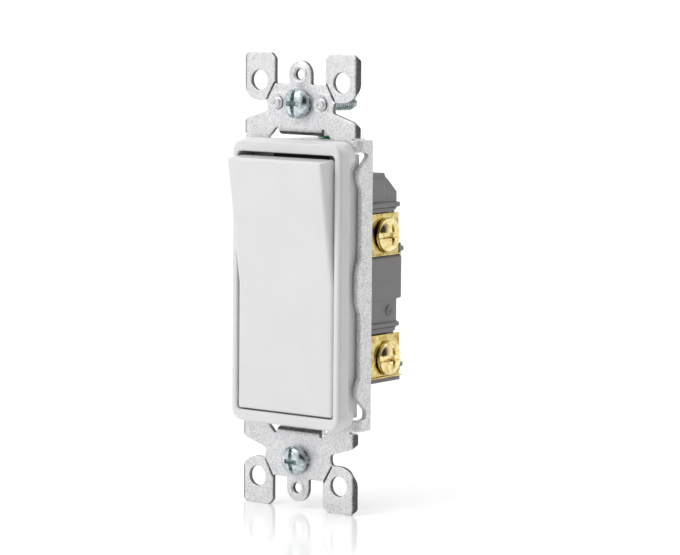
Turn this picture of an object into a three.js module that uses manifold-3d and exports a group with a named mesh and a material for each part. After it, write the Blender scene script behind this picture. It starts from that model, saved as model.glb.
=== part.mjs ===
// Single-pole paddle wall switch on a steel strap, as an assembly of separate pieces.
//
// Millimetres, +Z up. The origin is the centre of the strap's rear plane, the plane that lies against the
// wall box. The paddle faces -Y, the housing reaches back along +Y, and +X is the side with the terminals.
// The paddle is drawn with its lower end pressed in (switched off).

import * as THREE from 'three';
import { mergeVertices } from 'three/addons/utils/BufferGeometryUtils.js';
import Module from 'manifold-3d';

const wasm = await Module();
wasm.setup();

// ---------------------------------------------------------------------------------------------------------
// Driving dimensions
// ---------------------------------------------------------------------------------------------------------

const GAP = 0.3;                          // air kept between pieces that touch
const SHEET = 1.25;                       // steel of the strap
const BOX_SCREW_Z = 83.34 / 2;            // device-box screw holes, from the middle
const PLATE_SCREW_Z = 96.84 / 2;          // cover-plate screw holes, from the middle

const STRAP_END_Z = 53.25;                // strap is 106.5 tall
const STRAP_HALF_X = 16.7;
const FLANGE_OUTER_X = 17.2;
const FLANGE_INNER_X = FLANGE_OUTER_X - SHEET;
const FLANGE_REAR_Y = 4.3;
const BEND_R = 2.2;                       // outside radius where the flanges turn back
const WEB_END_Z = 31.0;                   // end plates stop here, behind the frame
const CORNER_END_Z = 33.9;                // top of the flanges

const FRAME_FACE_Y = -6.6;
const FRAME_HALF_X = 15.7;
const FRAME_HALF_Z = 33.0;
const FRAME_SKIRT = 0.75;                 // how far the slanted wall spreads below the face
const FRAME_CORNER_R = 2.7;
const FRAME_SLOPE_REAR_Y = -3.9;          // the slanted wall ends here and runs straight back
const FRAME_WALL_REAR_Y = -SHEET - GAP;
const OPENING_HALF_X = 14.2;
const OPENING_HALF_Z = 30.4;
const TUB_HALF_X = 15.4;                  // side walls that pass between the flanges
const TUB_HALF_Z = OPENING_HALF_Z + 0.25;
const TUB_REAR_Y = 1.5;

const TILT = THREE.MathUtils.degToRad(9); // whole travel of the paddle
const PADDLE_PIVOT_Y = -2.0;
const PADDLE_HALF_X = 13.85;
const PADDLE_HALF_LENGTH = 29.75;         // crease to end, along the face
const PADDLE_WALL = 1.6;
const PADDLE_BACK = -1.6;                 // rear edge of the skirt, from the pivot
const DRIVE_LEG = 6.0;                    // pivot to the centre of the leg's round tip
const DRIVE_TIP_R = 1.1;

const ACTUATOR_PIVOT_Y = 8.0;
const ACTUATOR_RATIO = DRIVE_LEG / (ACTUATOR_PIVOT_Y - PADDLE_PIVOT_Y - DRIVE_LEG);
const ACTUATOR_TRAVEL = TILT * ACTUATOR_RATIO;

const ARM_PIVOT = { y: 11.5, z: 12.0 };
const ARM_TRAVEL = THREE.MathUtils.degToRad(4.75);

const BODY_FRONT_Y = TUB_REAR_Y + GAP;
const BODY_REAR_Y = 18.2;
const BODY_HALF_X = 15.2;
const BODY_TOP_Z = 25.7;
const BODY_BOTTOM_Z = -23.4;
const CAVITY = { x0: -13.7, x1: 10.8, y1: 16.6, z0: -21.9, z1: 19.5 };

const TERMINAL_SCREW_Y = 12.4;
const TERMINALS = {                       // screw height, the brass plate's ends and its outer face
  line: { screwZ: 11.2, z0: 6.4, z1: 16.2, faceX: 14.9 },
  load: { screwZ: -17.6, z0: -22.25, z1: -12.1, faceX: 15.5 },
};
const RECESS_FLOOR_X = 13.2;
const BRASS = 1.0;                        // thickness of the terminals
const SHANK_R = 1.75;                     // 6-32 thread, outside

const FACETS = 20;

// ---------------------------------------------------------------------------------------------------------
// Solids: three.js makes every shape, manifold-3d only joins and cuts
// ---------------------------------------------------------------------------------------------------------

/** A closed three.js geometry as a manifold solid. */
function solid(geometry) {
  const bare = new THREE.BufferGeometry();
  bare.setAttribute('position', geometry.getAttribute('position').clone());
  if (geometry.index) bare.setIndex(geometry.index.clone());
  const merged = mergeVertices(bare, 1e-5);
  return new wasm.Manifold(new wasm.Mesh({
    numProp: 3,
    vertProperties: new Float32Array(merged.getAttribute('position').array),
    triVerts: new Uint32Array(merged.index.array),
  }));
}

/** A manifold solid as a three.js geometry with flat-shaded faces. */
function geometryOf(body) {
  const mesh = body.getMesh();
  const geometry = new THREE.BufferGeometry();
  geometry.setAttribute('position', new THREE.BufferAttribute(new Float32Array(mesh.vertProperties), 3));
  geometry.setIndex(new THREE.BufferAttribute(new Uint32Array(mesh.triVerts), 1));
  const flat = geometry.toNonIndexed();
  flat.computeVertexNormals();
  return flat;
}

function join(...bodies) {
  return bodies.reduce((sum, body) => sum.add(body));
}

function cut(body, ...tools) {
  return tools.reduce((rest, tool) => rest.subtract(tool), body);
}

function box(x0, x1, y0, y1, z0, z1) {
  const geometry = new THREE.BoxGeometry(x1 - x0, y1 - y0, z1 - z0);
  geometry.translate((x0 + x1) / 2, (y0 + y1) / 2, (z0 + z1) / 2);
  return solid(geometry);
}

/** Extrudes a shape drawn in (X, Z) from y0 back to y1. */
function extrudeY(shape, y0, y1, curveSegments = 6) {
  const geometry = new THREE.ExtrudeGeometry(shape, { depth: y1 - y0, bevelEnabled: false, curveSegments });
  geometry.rotateX(Math.PI / 2);
  geometry.translate(0, y1, 0);
  return solid(geometry);
}

/** Extrudes a shape drawn in (Y, Z) from x0 to x1. */
function extrudeX(shape, x0, x1, curveSegments = 6) {
  const geometry = new THREE.ExtrudeGeometry(shape, { depth: x1 - x0, bevelEnabled: false, curveSegments });
  geometry.applyMatrix4(new THREE.Matrix4().makeBasis(
    new THREE.Vector3(0, 1, 0), new THREE.Vector3(0, 0, 1), new THREE.Vector3(1, 0, 0)));
  geometry.translate(x0, 0, 0);
  return solid(geometry);
}

/** Extrudes a shape drawn in (X, Y) from z0 to z1. */
function extrudeZ(shape, z0, z1, curveSegments = 6) {
  const geometry = new THREE.ExtrudeGeometry(shape, { depth: z1 - z0, bevelEnabled: false, curveSegments });
  geometry.translate(0, 0, z0);
  return solid(geometry);
}

/** A straight-sided outline through the given [u, v] corners. */
function outline(corners) {
  return new THREE.Shape(corners.map(([u, v]) => new THREE.Vector2(u, v)));
}

/** A cylinder along 'x', 'y' or 'z' from a to b, centred on (p, q) of the other two axes in order. */
function rod(axis, radius, a, b, p, q, facets = FACETS) {
  const geometry = new THREE.CylinderGeometry(radius, radius, b - a, facets);
  const middle = (a + b) / 2;
  if (axis === 'x') {
    geometry.rotateZ(-Math.PI / 2);
    geometry.translate(middle, p, q);
  } else if (axis === 'y') {
    geometry.translate(p, middle, q);
  } else {
    geometry.rotateX(Math.PI / 2);
    geometry.translate(p, q, middle);
  }
  return solid(geometry);
}

/** Turns a solid about the X direction through (y, z); a positive angle carries +Z towards -Y. */
function turnX(body, angle, y, z) {
  const turn = new THREE.Matrix4().makeTranslation(0, y, z)
    .multiply(new THREE.Matrix4().makeRotationX(angle))
    .multiply(new THREE.Matrix4().makeTranslation(0, -y, -z));
  return solid(geometryOf(body).applyMatrix4(turn));
}

/** The same solid upside down: half a turn about the Y axis. */
function upsideDown(body) {
  return solid(geometryOf(body).rotateY(Math.PI));
}

function roundedRect(halfX, halfZ, radius) {
  const shape = new THREE.Shape();
  shape.moveTo(-halfX + radius, -halfZ);
  shape.lineTo(halfX - radius, -halfZ);
  shape.absarc(halfX - radius, -halfZ + radius, radius, -Math.PI / 2, 0, false);
  shape.lineTo(halfX, halfZ - radius);
  shape.absarc(halfX - radius, halfZ - radius, radius, 0, Math.PI / 2, false);
  shape.lineTo(-halfX + radius, halfZ);
  shape.absarc(-halfX + radius, halfZ - radius, radius, Math.PI / 2, Math.PI, false);
  shape.lineTo(-halfX, -halfZ + radius);
  shape.absarc(-halfX + radius, -halfZ + radius, radius, Math.PI, Math.PI * 1.5, false);
  return shape;
}

// ---------------------------------------------------------------------------------------------------------
// Strap: two end plates with ears and tongues, joined by two side flanges
// ---------------------------------------------------------------------------------------------------------

const EAR = { inner: 7.4, chamfer: 1.2, bottomZ: 42.1, cornerR: 4.5, holeX: 12.03, holeZ: 46.8, holeR: 2.4 };
const NECK_X = 9.6;
const TONGUE_HALF = 3.2;
const CENTRE_EDGE_Z = 46.1;
const LIP = { halfX: 6.3, bendZ: 35.9, bendR: 1.6, rearY: 1.6 };
const RIVET = { x: 6.4, z: 41.7, shankR: 1.1 };
const SEAM = 0.1;                         // each half crosses the middle by this much, so the halves join

/** Right half of the end plate's outline, from the tongue down to the leg; mirrored for the left. */
function endPlateShape() {
  const shape = new THREE.Shape();
  const cornerX = STRAP_HALF_X - EAR.cornerR;
  const cornerZ = EAR.bottomZ + EAR.cornerR;
  shape.moveTo(-SEAM, PLATE_SCREW_Z + TONGUE_HALF);
  shape.lineTo(0, PLATE_SCREW_Z + TONGUE_HALF);
  shape.absarc(0, PLATE_SCREW_Z, TONGUE_HALF, Math.PI / 2, 0, true);
  shape.lineTo(TONGUE_HALF, CENTRE_EDGE_Z);
  shape.lineTo(EAR.inner, CENTRE_EDGE_Z);
  shape.lineTo(EAR.inner, STRAP_END_Z - EAR.chamfer);
  shape.lineTo(EAR.inner + EAR.chamfer, STRAP_END_Z);
  shape.lineTo(STRAP_HALF_X - EAR.chamfer, STRAP_END_Z);
  shape.lineTo(STRAP_HALF_X, STRAP_END_Z - EAR.chamfer);
  shape.lineTo(STRAP_HALF_X, cornerZ);
  shape.absarc(cornerX, cornerZ, EAR.cornerR, 0, -Math.PI / 2, true);
  shape.lineTo(NECK_X + 0.4, EAR.bottomZ);
  shape.lineTo(NECK_X, EAR.bottomZ - 0.9);
  shape.lineTo(NECK_X, 39.7);
  shape.lineTo(15.6, 37.8);
  shape.lineTo(STRAP_HALF_X, 36.7);
  shape.lineTo(STRAP_HALF_X, CORNER_END_Z);
  shape.lineTo(FLANGE_OUTER_X - BEND_R + 0.2, CORNER_END_Z);
  shape.lineTo(FLANGE_OUTER_X - BEND_R + 0.2, WEB_END_Z);
  shape.lineTo(10.0, WEB_END_Z);
  shape.lineTo(10.0, 32.8);
  shape.lineTo(7.1, 35.9);
  shape.lineTo(-SEAM, 35.9);
  return shape;
}

function mirrorX(body) {
  const geometry = geometryOf(body);
  geometry.scale(-1, 1, 1);
  const position = geometry.getAttribute('position');
  const flipped = new Float32Array(position.array.length);
  for (let corner = 0; corner < position.count; corner += 3) {
    for (let k = 0; k < 3; k += 1) {
      const source = corner + (2 - k);
      flipped.set([position.getX(source), position.getY(source), position.getZ(source)], 3 * (corner + k));
    }
  }
  const result = new THREE.BufferGeometry();
  result.setAttribute('position', new THREE.BufferAttribute(flipped, 3));
  return solid(result);
}

/** A quarter ring of sheet: outline in two axes, from angle a to b about (u, v). */
function bendShape(u, v, outer, a, b) {
  const shape = new THREE.Shape();
  shape.absarc(u, v, outer, a, b, false);
  shape.absarc(u, v, outer - SHEET, b, a, true);
  return shape;
}

function endPlate() {
  const half = extrudeY(endPlateShape(), -SHEET, 0);
  const lipShape = bendShape(LIP.bendR - SHEET, LIP.bendZ, LIP.bendR, Math.PI, Math.PI * 1.5);
  const lip = join(
    extrudeX(lipShape, -LIP.halfX, LIP.halfX, 5),
    box(-LIP.halfX, LIP.halfX, -SHEET, 0, LIP.bendZ - 0.05, LIP.bendZ + 1),
    box(-LIP.halfX, LIP.halfX, LIP.bendR - SHEET - 0.05, LIP.rearY, LIP.bendZ - LIP.bendR,
      LIP.bendZ - LIP.bendR + SHEET));
  const slot = join(
    box(-1.0, 1.0, -3, 3, BOX_SCREW_Z - 2.3, BOX_SCREW_Z + 2.3),
    rod('y', 2.3, -3, 3, -1.0, BOX_SCREW_Z, 16),
    rod('y', 2.3, -3, 3, 1.0, BOX_SCREW_Z, 16));
  const holes = [rod('y', 1.45, -3, 3, 0, PLATE_SCREW_Z, 16), slot];
  for (const side of [-1, 1]) {
    holes.push(rod('y', EAR.holeR, -3, 3, side * EAR.holeX, EAR.holeZ));
    holes.push(scoreGroove(side));
  }
  return cut(join(half, mirrorX(half), lip), ...holes);
}

/** The break-off line between an ear and the plate: a narrow groove in the front face. */
function scoreGroove(side) {
  const top = new THREE.Vector2(side * EAR.inner, CENTRE_EDGE_Z + 0.5);
  const bottom = new THREE.Vector2(side * (NECK_X + 0.5), EAR.bottomZ - 0.3);
  const across = new THREE.Vector2().subVectors(top, bottom).normalize().multiplyScalar(0.25);
  const corners = [
    [bottom.x + across.y, bottom.y - across.x],
    [top.x + across.y, top.y - across.x],
    [top.x - across.y, top.y + across.x],
    [bottom.x - across.y, bottom.y + across.x],
  ];
  return extrudeY(outline(corners), -2, -0.45);
}

/** Side view of a flange in (Y, Z): notched at its ends, with three bumps on its front edge. */
function flangeShape() {
  const bendY = BEND_R - SHEET;
  const shape = new THREE.Shape();
  shape.moveTo(FLANGE_REAR_Y, -CORNER_END_Z);
  shape.lineTo(FLANGE_REAR_Y, CORNER_END_Z);
  shape.lineTo(bendY, CORNER_END_Z);
  shape.lineTo(bendY, WEB_END_Z);
  shape.lineTo(2.4, WEB_END_Z - 0.4);
  shape.lineTo(2.4, 30.0);
  shape.lineTo(-0.7, 27.1);
  shape.quadraticCurveTo(-1.25, 26.6, -1.25, 25.8);
  shape.quadraticCurveTo(-1.25, 24.2, 0, 22.6);
  shape.lineTo(0, 6.2);
  shape.quadraticCurveTo(-1.25, 4.6, -1.25, 2.6);
  shape.lineTo(-1.25, -2.4);
  shape.quadraticCurveTo(-1.25, -4.4, 0, -6.0);
  shape.lineTo(0, -21.4);
  shape.quadraticCurveTo(-1.25, -22.8, -1.25, -24.4);
  shape.quadraticCurveTo(-1.25, -25.6, -0.7, -26.1);
  shape.lineTo(2.4, -28.8);
  shape.lineTo(2.4, 0.4 - WEB_END_Z);
  shape.lineTo(bendY, -WEB_END_Z);
  shape.lineTo(bendY, -CORNER_END_Z);
  return shape;
}

function strap() {
  const top = endPlate();
  const flange = extrudeX(flangeShape(), FLANGE_INNER_X, FLANGE_OUTER_X, 4);
  const cornerShape = bendShape(FLANGE_OUTER_X - BEND_R, BEND_R - SHEET, BEND_R, -Math.PI / 2, 0);
  const corner = extrudeZ(cornerShape, WEB_END_Z, CORNER_END_Z, 6);
  const lowCorner = extrudeZ(cornerShape, -CORNER_END_Z, -WEB_END_Z, 6);
  const overlapStrip = box(FLANGE_INNER_X, FLANGE_OUTER_X, BEND_R - SHEET - 0.05, BEND_R - SHEET + 0.2,
    WEB_END_Z, CORNER_END_Z);
  const lowStrip = box(FLANGE_INNER_X, FLANGE_OUTER_X, BEND_R - SHEET - 0.05, BEND_R - SHEET + 0.2,
    -CORNER_END_Z, -WEB_END_Z);
  const side = join(flange, corner, lowCorner, overlapStrip, lowStrip);
  const whole = join(top, upsideDown(top), side, mirrorX(side));
  const rivetHoles = [-1, 1].map((sign) => rod('y', RIVET.shankR + GAP, -3, 3, sign * RIVET.x, RIVET.z, 14));
  return cut(whole, ...rivetHoles);
}

// ---------------------------------------------------------------------------------------------------------
// Front frame: the white bezel, the tub between the flanges and the snap legs
// ---------------------------------------------------------------------------------------------------------

const SNAP = { x: 9.0, halfX: 1.6, rearY: 6.4, barbY: 5.0, barb: 0.8, thick: 1.1 };
const SHELF_TOP_Z = BODY_TOP_Z + 0.4;
const SHELF_BOTTOM_Z = BODY_BOTTOM_Z - 0.4;

/** A snap leg on the frame's shelf: a strip along Y with a barb at its end that points at the housing. */
function snapLeg(x, nearZ, direction) {
  const profile = outline([
    [TUB_REAR_Y - 1.4, nearZ + direction * SNAP.thick],
    [TUB_REAR_Y - 1.4, nearZ],
    [SNAP.barbY, nearZ],
    [SNAP.barbY, nearZ - direction * SNAP.barb],
    [SNAP.rearY, nearZ],
    [SNAP.rearY, nearZ + direction * SNAP.thick],
  ]);
  return extrudeX(direction > 0 ? reversed(profile) : profile, x - SNAP.halfX, x + SNAP.halfX);
}

function reversed(shape) {
  return new THREE.Shape(shape.getPoints().reverse());
}

function frontFrame() {
  const face = extrudeY(roundedRect(FRAME_HALF_X, FRAME_HALF_Z, FRAME_CORNER_R), FRAME_FACE_Y, -5.6);
  const slopeShape = roundedRect(FRAME_HALF_X + 0.05, FRAME_HALF_Z - 0.4, FRAME_CORNER_R);
  const slope = new THREE.ExtrudeGeometry(slopeShape, {
    depth: FRAME_WALL_REAR_Y - FRAME_SLOPE_REAR_Y, bevelEnabled: true, bevelThickness: 1.8,
    bevelSize: FRAME_SKIRT, bevelSegments: 1, curveSegments: 6,
  });
  slope.rotateX(Math.PI / 2);
  slope.translate(0, FRAME_WALL_REAR_Y, 0);
  const wall = cut(solid(slope), box(-20, 20, FRAME_WALL_REAR_Y, 4, -40, 40));
  const neckShape = outline([[TUB_HALF_X, -2.2], [20, -4.6], [20, 1], [TUB_HALF_X, 1]]);
  const neck = extrudeZ(neckShape, -29.5, 29.5);
  const opening = extrudeY(roundedRect(OPENING_HALF_X, OPENING_HALF_Z, 1.0), -10, 0, 3);
  const tub = cut(
    box(-TUB_HALF_X, TUB_HALF_X, FRAME_WALL_REAR_Y - 0.1, TUB_REAR_Y, -TUB_HALF_Z, TUB_HALF_Z),
    box(-OPENING_HALF_X, OPENING_HALF_X, -10, 0, -OPENING_HALF_Z, OPENING_HALF_Z),
    box(-OPENING_HALF_X, OPENING_HALF_X, -1, 4, SHELF_BOTTOM_Z, SHELF_TOP_Z));
  const pockets = [-1, 1].map((side) => {
    const inner = side * (OPENING_HALF_X - 0.5);
    const outer = side * (OPENING_HALF_X + 0.85);
    return rod('x', 1.35, Math.min(inner, outer), Math.max(inner, outer), PADDLE_PIVOT_Y, 0, 24);
  });
  const legs = [];
  for (const x of [-SNAP.x, SNAP.x]) {
    legs.push(snapLeg(x, SHELF_TOP_Z, 1));
    legs.push(snapLeg(x, SHELF_BOTTOM_Z, -1));
  }
  const bezel = cut(join(face, wall), opening, neck, mirrorX(neck));
  return cut(join(bezel, tub, ...legs), ...pockets);
}

// ---------------------------------------------------------------------------------------------------------
// Rocker paddle: a hollow V-shaped cap with two trunnions and a drive leg
// ---------------------------------------------------------------------------------------------------------

const CREASE = (-FRAME_FACE_Y + PADDLE_PIVOT_Y) / Math.cos(TILT / 2);

/** Paddle section in (Y, Z) from the pivot, shrunk by a wall thickness and open behind for the hollow. */
function paddleSection(shrink, backY) {
  const half = TILT / 2;
  const end = PADDLE_HALF_LENGTH - shrink;
  const face = -CREASE + shrink;
  const tipY = face - end * Math.sin(half);
  const tipZ = end * Math.cos(half);
  const round = shrink > 0 ? 0.1 : 0.8;
  return outline([
    [face, 0],
    [tipY + round * 0.08, -tipZ + round],
    [tipY + round * 0.4, -tipZ + round * 0.3],
    [tipY + round, -tipZ],
    [backY, -tipZ],
    [backY, tipZ],
    [tipY + round, tipZ],
    [tipY + round * 0.4, tipZ - round * 0.3],
    [tipY + round * 0.08, tipZ - round],
  ]);
}

function rockerPaddle() {
  const shell = cut(
    extrudeX(paddleSection(0, PADDLE_BACK), -PADDLE_HALF_X, PADDLE_HALF_X),
    extrudeX(paddleSection(PADDLE_WALL, PADDLE_BACK + 5), -PADDLE_HALF_X + PADDLE_WALL,
      PADDLE_HALF_X - PADDLE_WALL));
  const pieces = [shell];
  for (const side of [-1, 1]) {
    const inner = side * (PADDLE_HALF_X - PADDLE_WALL);
    const outer = side * PADDLE_HALF_X;
    const tip = side * (OPENING_HALF_X + 0.55);
    pieces.push(box(Math.min(inner, outer), Math.max(inner, outer), PADDLE_BACK - 0.5, 0.6, -1.8, 1.8));
    pieces.push(rod('x', 1.2, Math.min(inner, tip), Math.max(inner, tip), 0, 0, 24));
  }
  const legHalfX = 3.0;
  pieces.push(box(-legHalfX, legHalfX, -CREASE + 1, DRIVE_LEG, -DRIVE_TIP_R, DRIVE_TIP_R));
  pieces.push(rod('x', DRIVE_TIP_R, -legHalfX, legHalfX, DRIVE_LEG, 0, 16));
  for (const x of [-9, 9]) {
    pieces.push(box(x - 0.6, x + 0.6, -CREASE + 0.8, -2.4, -26, 26));
  }
  const placed = geometryOf(join(...pieces)).translate(0, PADDLE_PIVOT_Y, 0);
  return turnX(solid(placed), TILT / 2, PADDLE_PIVOT_Y, 0);
}

// ---------------------------------------------------------------------------------------------------------
// Rear housing and the cover over its mechanism
// ---------------------------------------------------------------------------------------------------------

const COVER = { y0: BODY_FRONT_Y + 0.1, y1: BODY_FRONT_Y + 1.1 };
const AXLE = { r: 1.0, seatR: 1.1, halfX: 9.5 };

/** Side view of the housing's core in (Y, Z), its rear top corner cut away. */
function coreShape() {
  return outline([
    [BODY_FRONT_Y, BODY_BOTTOM_Z],
    [BODY_REAR_Y, BODY_BOTTOM_Z],
    [BODY_REAR_Y, 20.4],
    [12.3, 24.6],
    [11.3, BODY_TOP_Z],
    [BODY_FRONT_Y, BODY_TOP_Z],
  ]);
}

/** Side view of the terminal side in (Y, Z): hood, two cut-back sills and the plain blocks. */
function terminalSideShape() {
  const line = TERMINALS.line;
  const load = TERMINALS.load;
  return outline([
    [BODY_FRONT_Y, BODY_BOTTOM_Z],
    [BODY_REAR_Y, BODY_BOTTOM_Z],
    [BODY_REAR_Y, load.z1 - 0.2],
    [14.5, load.z1 + 0.2],
    [17.0, -10.5],
    [17.2, -9.8],
    [16.8, -9.2],
    [16.6, -9.1],
    [16.6, -4.1],
    [BODY_REAR_Y, -4.0],
    [BODY_REAR_Y, line.z0 - 0.3],
    [16.4, line.z0 - 0.3],
    [16.4, line.z1],
    [14.4, line.z1 + 0.3],
    [16.8, 17.5],
    [17.0, 18.2],
    [16.4, 18.8],
    [16.3, 18.9],
    [16.3, 21.1],
    [12.6, 24.3],
    [12.0, 24.6],
    [11.3, BODY_TOP_Z],
    [BODY_FRONT_Y, BODY_TOP_Z],
  ]);
}

function rearBody() {
  const core = extrudeX(coreShape(), -BODY_HALF_X, RECESS_FLOOR_X);
  const side = extrudeX(terminalSideShape(), RECESS_FLOOR_X - 0.5, BODY_HALF_X);
  const tools = [
    box(CAVITY.x0, CAVITY.x1, 0, CAVITY.y1, CAVITY.z0, CAVITY.z1),
    box(CAVITY.x0, CAVITY.x1, 0, 11.0, CAVITY.z1 + 1.3, BODY_TOP_Z - 1.5),
  ];
  for (const terminal of Object.values(TERMINALS)) {
    const wireZ = clampLow(terminal) + 1.6;
    tools.push(box(RECESS_FLOOR_X, 20, 3.4, 20, terminal.z0 - 0.25, terminal.z1 + 0.3));
    tools.push(rod('x', SHANK_R + 0.35, CAVITY.x1 - 1, 20, TERMINAL_SCREW_Y, terminal.screwZ));
    tools.push(box(CAVITY.x1 - 1, RECESS_FLOOR_X + 1, 8.6, 15.3, terminal.z1 - 1.3, terminal.z1 + 0.3));
    tools.push(rod('y', 1.1, CAVITY.y1 - 1, 20, 5.9, wireZ, 14));
    tools.push(box(5.2, 6.6, CAVITY.y1 - 1, 20, wireZ + 2.0, wireZ + 3.0));
  }
  for (const sideSign of [-1, 1]) {
    const wallX = sideSign < 0 ? CAVITY.x0 : CAVITY.x1;
    const a = Math.min(wallX - sideSign, wallX + sideSign * 0.9);
    const b = Math.max(wallX - sideSign, wallX + sideSign * 0.9);
    tools.push(box(a, b, 0, ACTUATOR_PIVOT_Y, -AXLE.seatR, AXLE.seatR));
    tools.push(rod('x', AXLE.seatR, a, b, ACTUATOR_PIVOT_Y, 0, 24));
  }
  const blankPanels = [
    box(-20, -BODY_HALF_X + 0.8, 5, 15, 7, 17),
    box(-20, -BODY_HALF_X + 0.8, 5, 15, -20.5, -11),
  ];
  const bosses = [];
  for (const x of [-SNAP.x, SNAP.x]) {
    const halfX = SNAP.halfX + GAP;
    const near = SNAP.barbY - GAP;
    const far = SNAP.rearY + GAP;
    tools.push(box(x - halfX, x + halfX, near, far, BODY_TOP_Z - 0.9, BODY_TOP_Z + 1));
    tools.push(box(x - halfX, x + halfX, near, far, BODY_BOTTOM_Z - 1, BODY_BOTTOM_Z + 0.9));
  }
  for (const z of [7.5, -19.9]) {
    bosses.push(box(RECESS_FLOOR_X - 1, 14.9, BODY_REAR_Y - 0.2, BODY_REAR_Y + 0.4, z - 1.4, z + 1.4));
    bosses.push(rod('y', 0.7, BODY_REAR_Y, BODY_REAR_Y + 1.6, 14.2, z, 12));
  }
  return join(cut(join(core, side), ...tools, ...blankPanels), ...bosses);
}

function mechanismCover() {
  const plate = box(CAVITY.x0 + GAP, CAVITY.x1 - GAP, COVER.y0, COVER.y1, CAVITY.z0 + GAP, CAVITY.z1 - GAP);
  const slot = box(-3.6, 3.6, -1, 5, -2.4, 2.4);
  return cut(plate, slot);
}

// ---------------------------------------------------------------------------------------------------------
// Mechanism: actuator, moving arm, contacts and spring
// ---------------------------------------------------------------------------------------------------------

/** Lever between the drive leg and the moving arm, drawn switched on and turned back to the off position. */
function contactActuator() {
  const slotHalf = DRIVE_TIP_R + 0.3;
  const prong = 1.3;
  const forkY = -(ACTUATOR_PIVOT_Y - PADDLE_PIVOT_Y - DRIVE_LEG) - 0.6;
  const pieces = [
    rod('x', 1.7, -4.5, 4.5, 0, 0),
    rod('x', AXLE.r, CAVITY.x0 - 0.6, CAVITY.x1 + 0.6, 0, 0, 24),
    extrudeX(outline([[forkY, slotHalf], [-1.2, slotHalf], [-1.0, -1.2], [0.6, -1.2], [0.6, 1.5],
      [forkY, slotHalf + prong]]), -4.0, 4.0),
    extrudeX(outline([[forkY, -slotHalf - prong], [0.6, -1.5], [0.6, 1.2], [-1.0, 1.2], [-1.2, -slotHalf],
      [forkY, -slotHalf]]), -4.0, 4.0),
  ];
  const lever = join(...pieces);
  const noseSection = outline([[-1.2, -1.0], [1.6, -8.4], [2.6, -8.6], [3.0, -8.0], [1.4, -1.0]]);
  const nose = extrudeX(noseSection, -2.0, 2.0);
  const centred = turnX(lever, ACTUATOR_TRAVEL / 2, 0, 0);
  const on = join(centred, nose);
  const placed = geometryOf(on).translate(0, ACTUATOR_PIVOT_Y, 0);
  return turnX(solid(placed), -ACTUATOR_TRAVEL, ACTUATOR_PIVOT_Y, 0);
}

const ARM = { halfX: 2.5, y0: 11.2, y1: 11.8, topZ: 13.2, bottomZ: -16.4, contactZ: -14.4 };

function movingContactArm() {
  const blade = box(-ARM.halfX, ARM.halfX, ARM.y0, ARM.y1, ARM.bottomZ, ARM.topZ);
  const pin = rod('x', 0.5, -3.5, 3.5, ARM_PIVOT.y, ARM_PIVOT.z, 16);
  return turnX(join(blade, pin), -ARM_TRAVEL, ARM_PIVOT.y, ARM_PIVOT.z);
}

function contactButton(y0, y1) {
  return rod('y', 1.8, y0, y1, 0, ARM.contactZ, 18);
}

const SPRING_Z = -4;

/** A round wire helix about an axis along Y, closed at both ends. */
function contactSpring() {
  const turns = 4;
  const meanR = 1.7;
  const start = ARM.y1 + 0.5;
  const end = CAVITY.y1 - 0.5;
  class Helix extends THREE.Curve {
    getPoint(t) {
      const angle = t * turns * 2 * Math.PI;
      const y = start + (end - start) * t;
      return new THREE.Vector3(meanR * Math.cos(angle), y, SPRING_Z + meanR * Math.sin(angle));
    }
  }
  const wire = new THREE.Shape();
  wire.absarc(0, 0, 0.25, 0, 2 * Math.PI, false);
  return solid(new THREE.ExtrudeGeometry(wire, {
    steps: turns * 10, extrudePath: new Helix(), bevelEnabled: false, curveSegments: 3,
  }));
}

// ---------------------------------------------------------------------------------------------------------
// Terminals and wire clamps
// ---------------------------------------------------------------------------------------------------------

/** Brass side plate with its top edge folded into the housing and a low lip turned out below the screw. */
function terminalBase({ screwZ, z0, z1, faceX }) {
  const plate = box(faceX - BRASS, faceX, FLANGE_REAR_Y + GAP, 17.6, z0, z1);
  const fold = box(4.4, faceX, 9.0, 14.9, z1 - 0.9, z1);
  const lowLip = box(faceX - BRASS, faceX + 0.7, FLANGE_REAR_Y + GAP, 17.6, z0, z0 + 0.35);
  const hole = rod('x', SHANK_R + 0.25, faceX - 2, faceX + 2, TERMINAL_SCREW_Y, screwZ);
  return cut(join(plate, fold, lowLip), hole);
}

/** The line terminal ends inside in two cheeks that carry the moving arm's pin. */
function lineTerminal() {
  const { z1 } = TERMINALS.line;
  const bridge = box(-3.9, 4.5, 9.0, 13.6, z1 - 0.9, z1);
  const cheeks = [-1, 1].map((side) => {
    const a = Math.min(side * 2.9, side * 3.8);
    const b = Math.max(side * 2.9, side * 3.8);
    return box(a, b, 10.0, 13.0, ARM_PIVOT.z - 1.4, z1 - 0.2);
  });
  const bore = rod('x', 0.62, -5, 4.6, ARM_PIVOT.y, ARM_PIVOT.z, 16);
  return cut(join(terminalBase(TERMINALS.line), bridge, ...cheeks), bore);
}

/** The load terminal ends inside in a tab that carries the fixed contact. */
function loadTerminal() {
  const { z1 } = TERMINALS.load;
  const tab = box(-2.6, 8.2, 13.9, 14.9, ARM.contactZ - 2.4, z1);
  return join(terminalBase(TERMINALS.load), tab);
}

function clampLow({ z0 }) {
  return Math.max(z0 - 0.3, CAVITY.z0 + GAP);
}

/** Push-in clamp: a strip of spring steel folded into a V that bites the wire. */
function wireClamp(terminal) {
  const low = clampLow(terminal);
  const t = 0.4;
  const profile = outline([
    [9.4, low + 3.2], [9.4, low], [9.4 + t, low], [9.4 + t, low + 2.6],
    [14.6, low + 0.7], [14.8, low + 1.1], [9.4 + t, low + 3.2],
  ]);
  return extrudeX(profile, 4.2, 7.8);
}

// ---------------------------------------------------------------------------------------------------------
// Screws, rivets, ground bracket, washers and bumpers
// ---------------------------------------------------------------------------------------------------------

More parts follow.
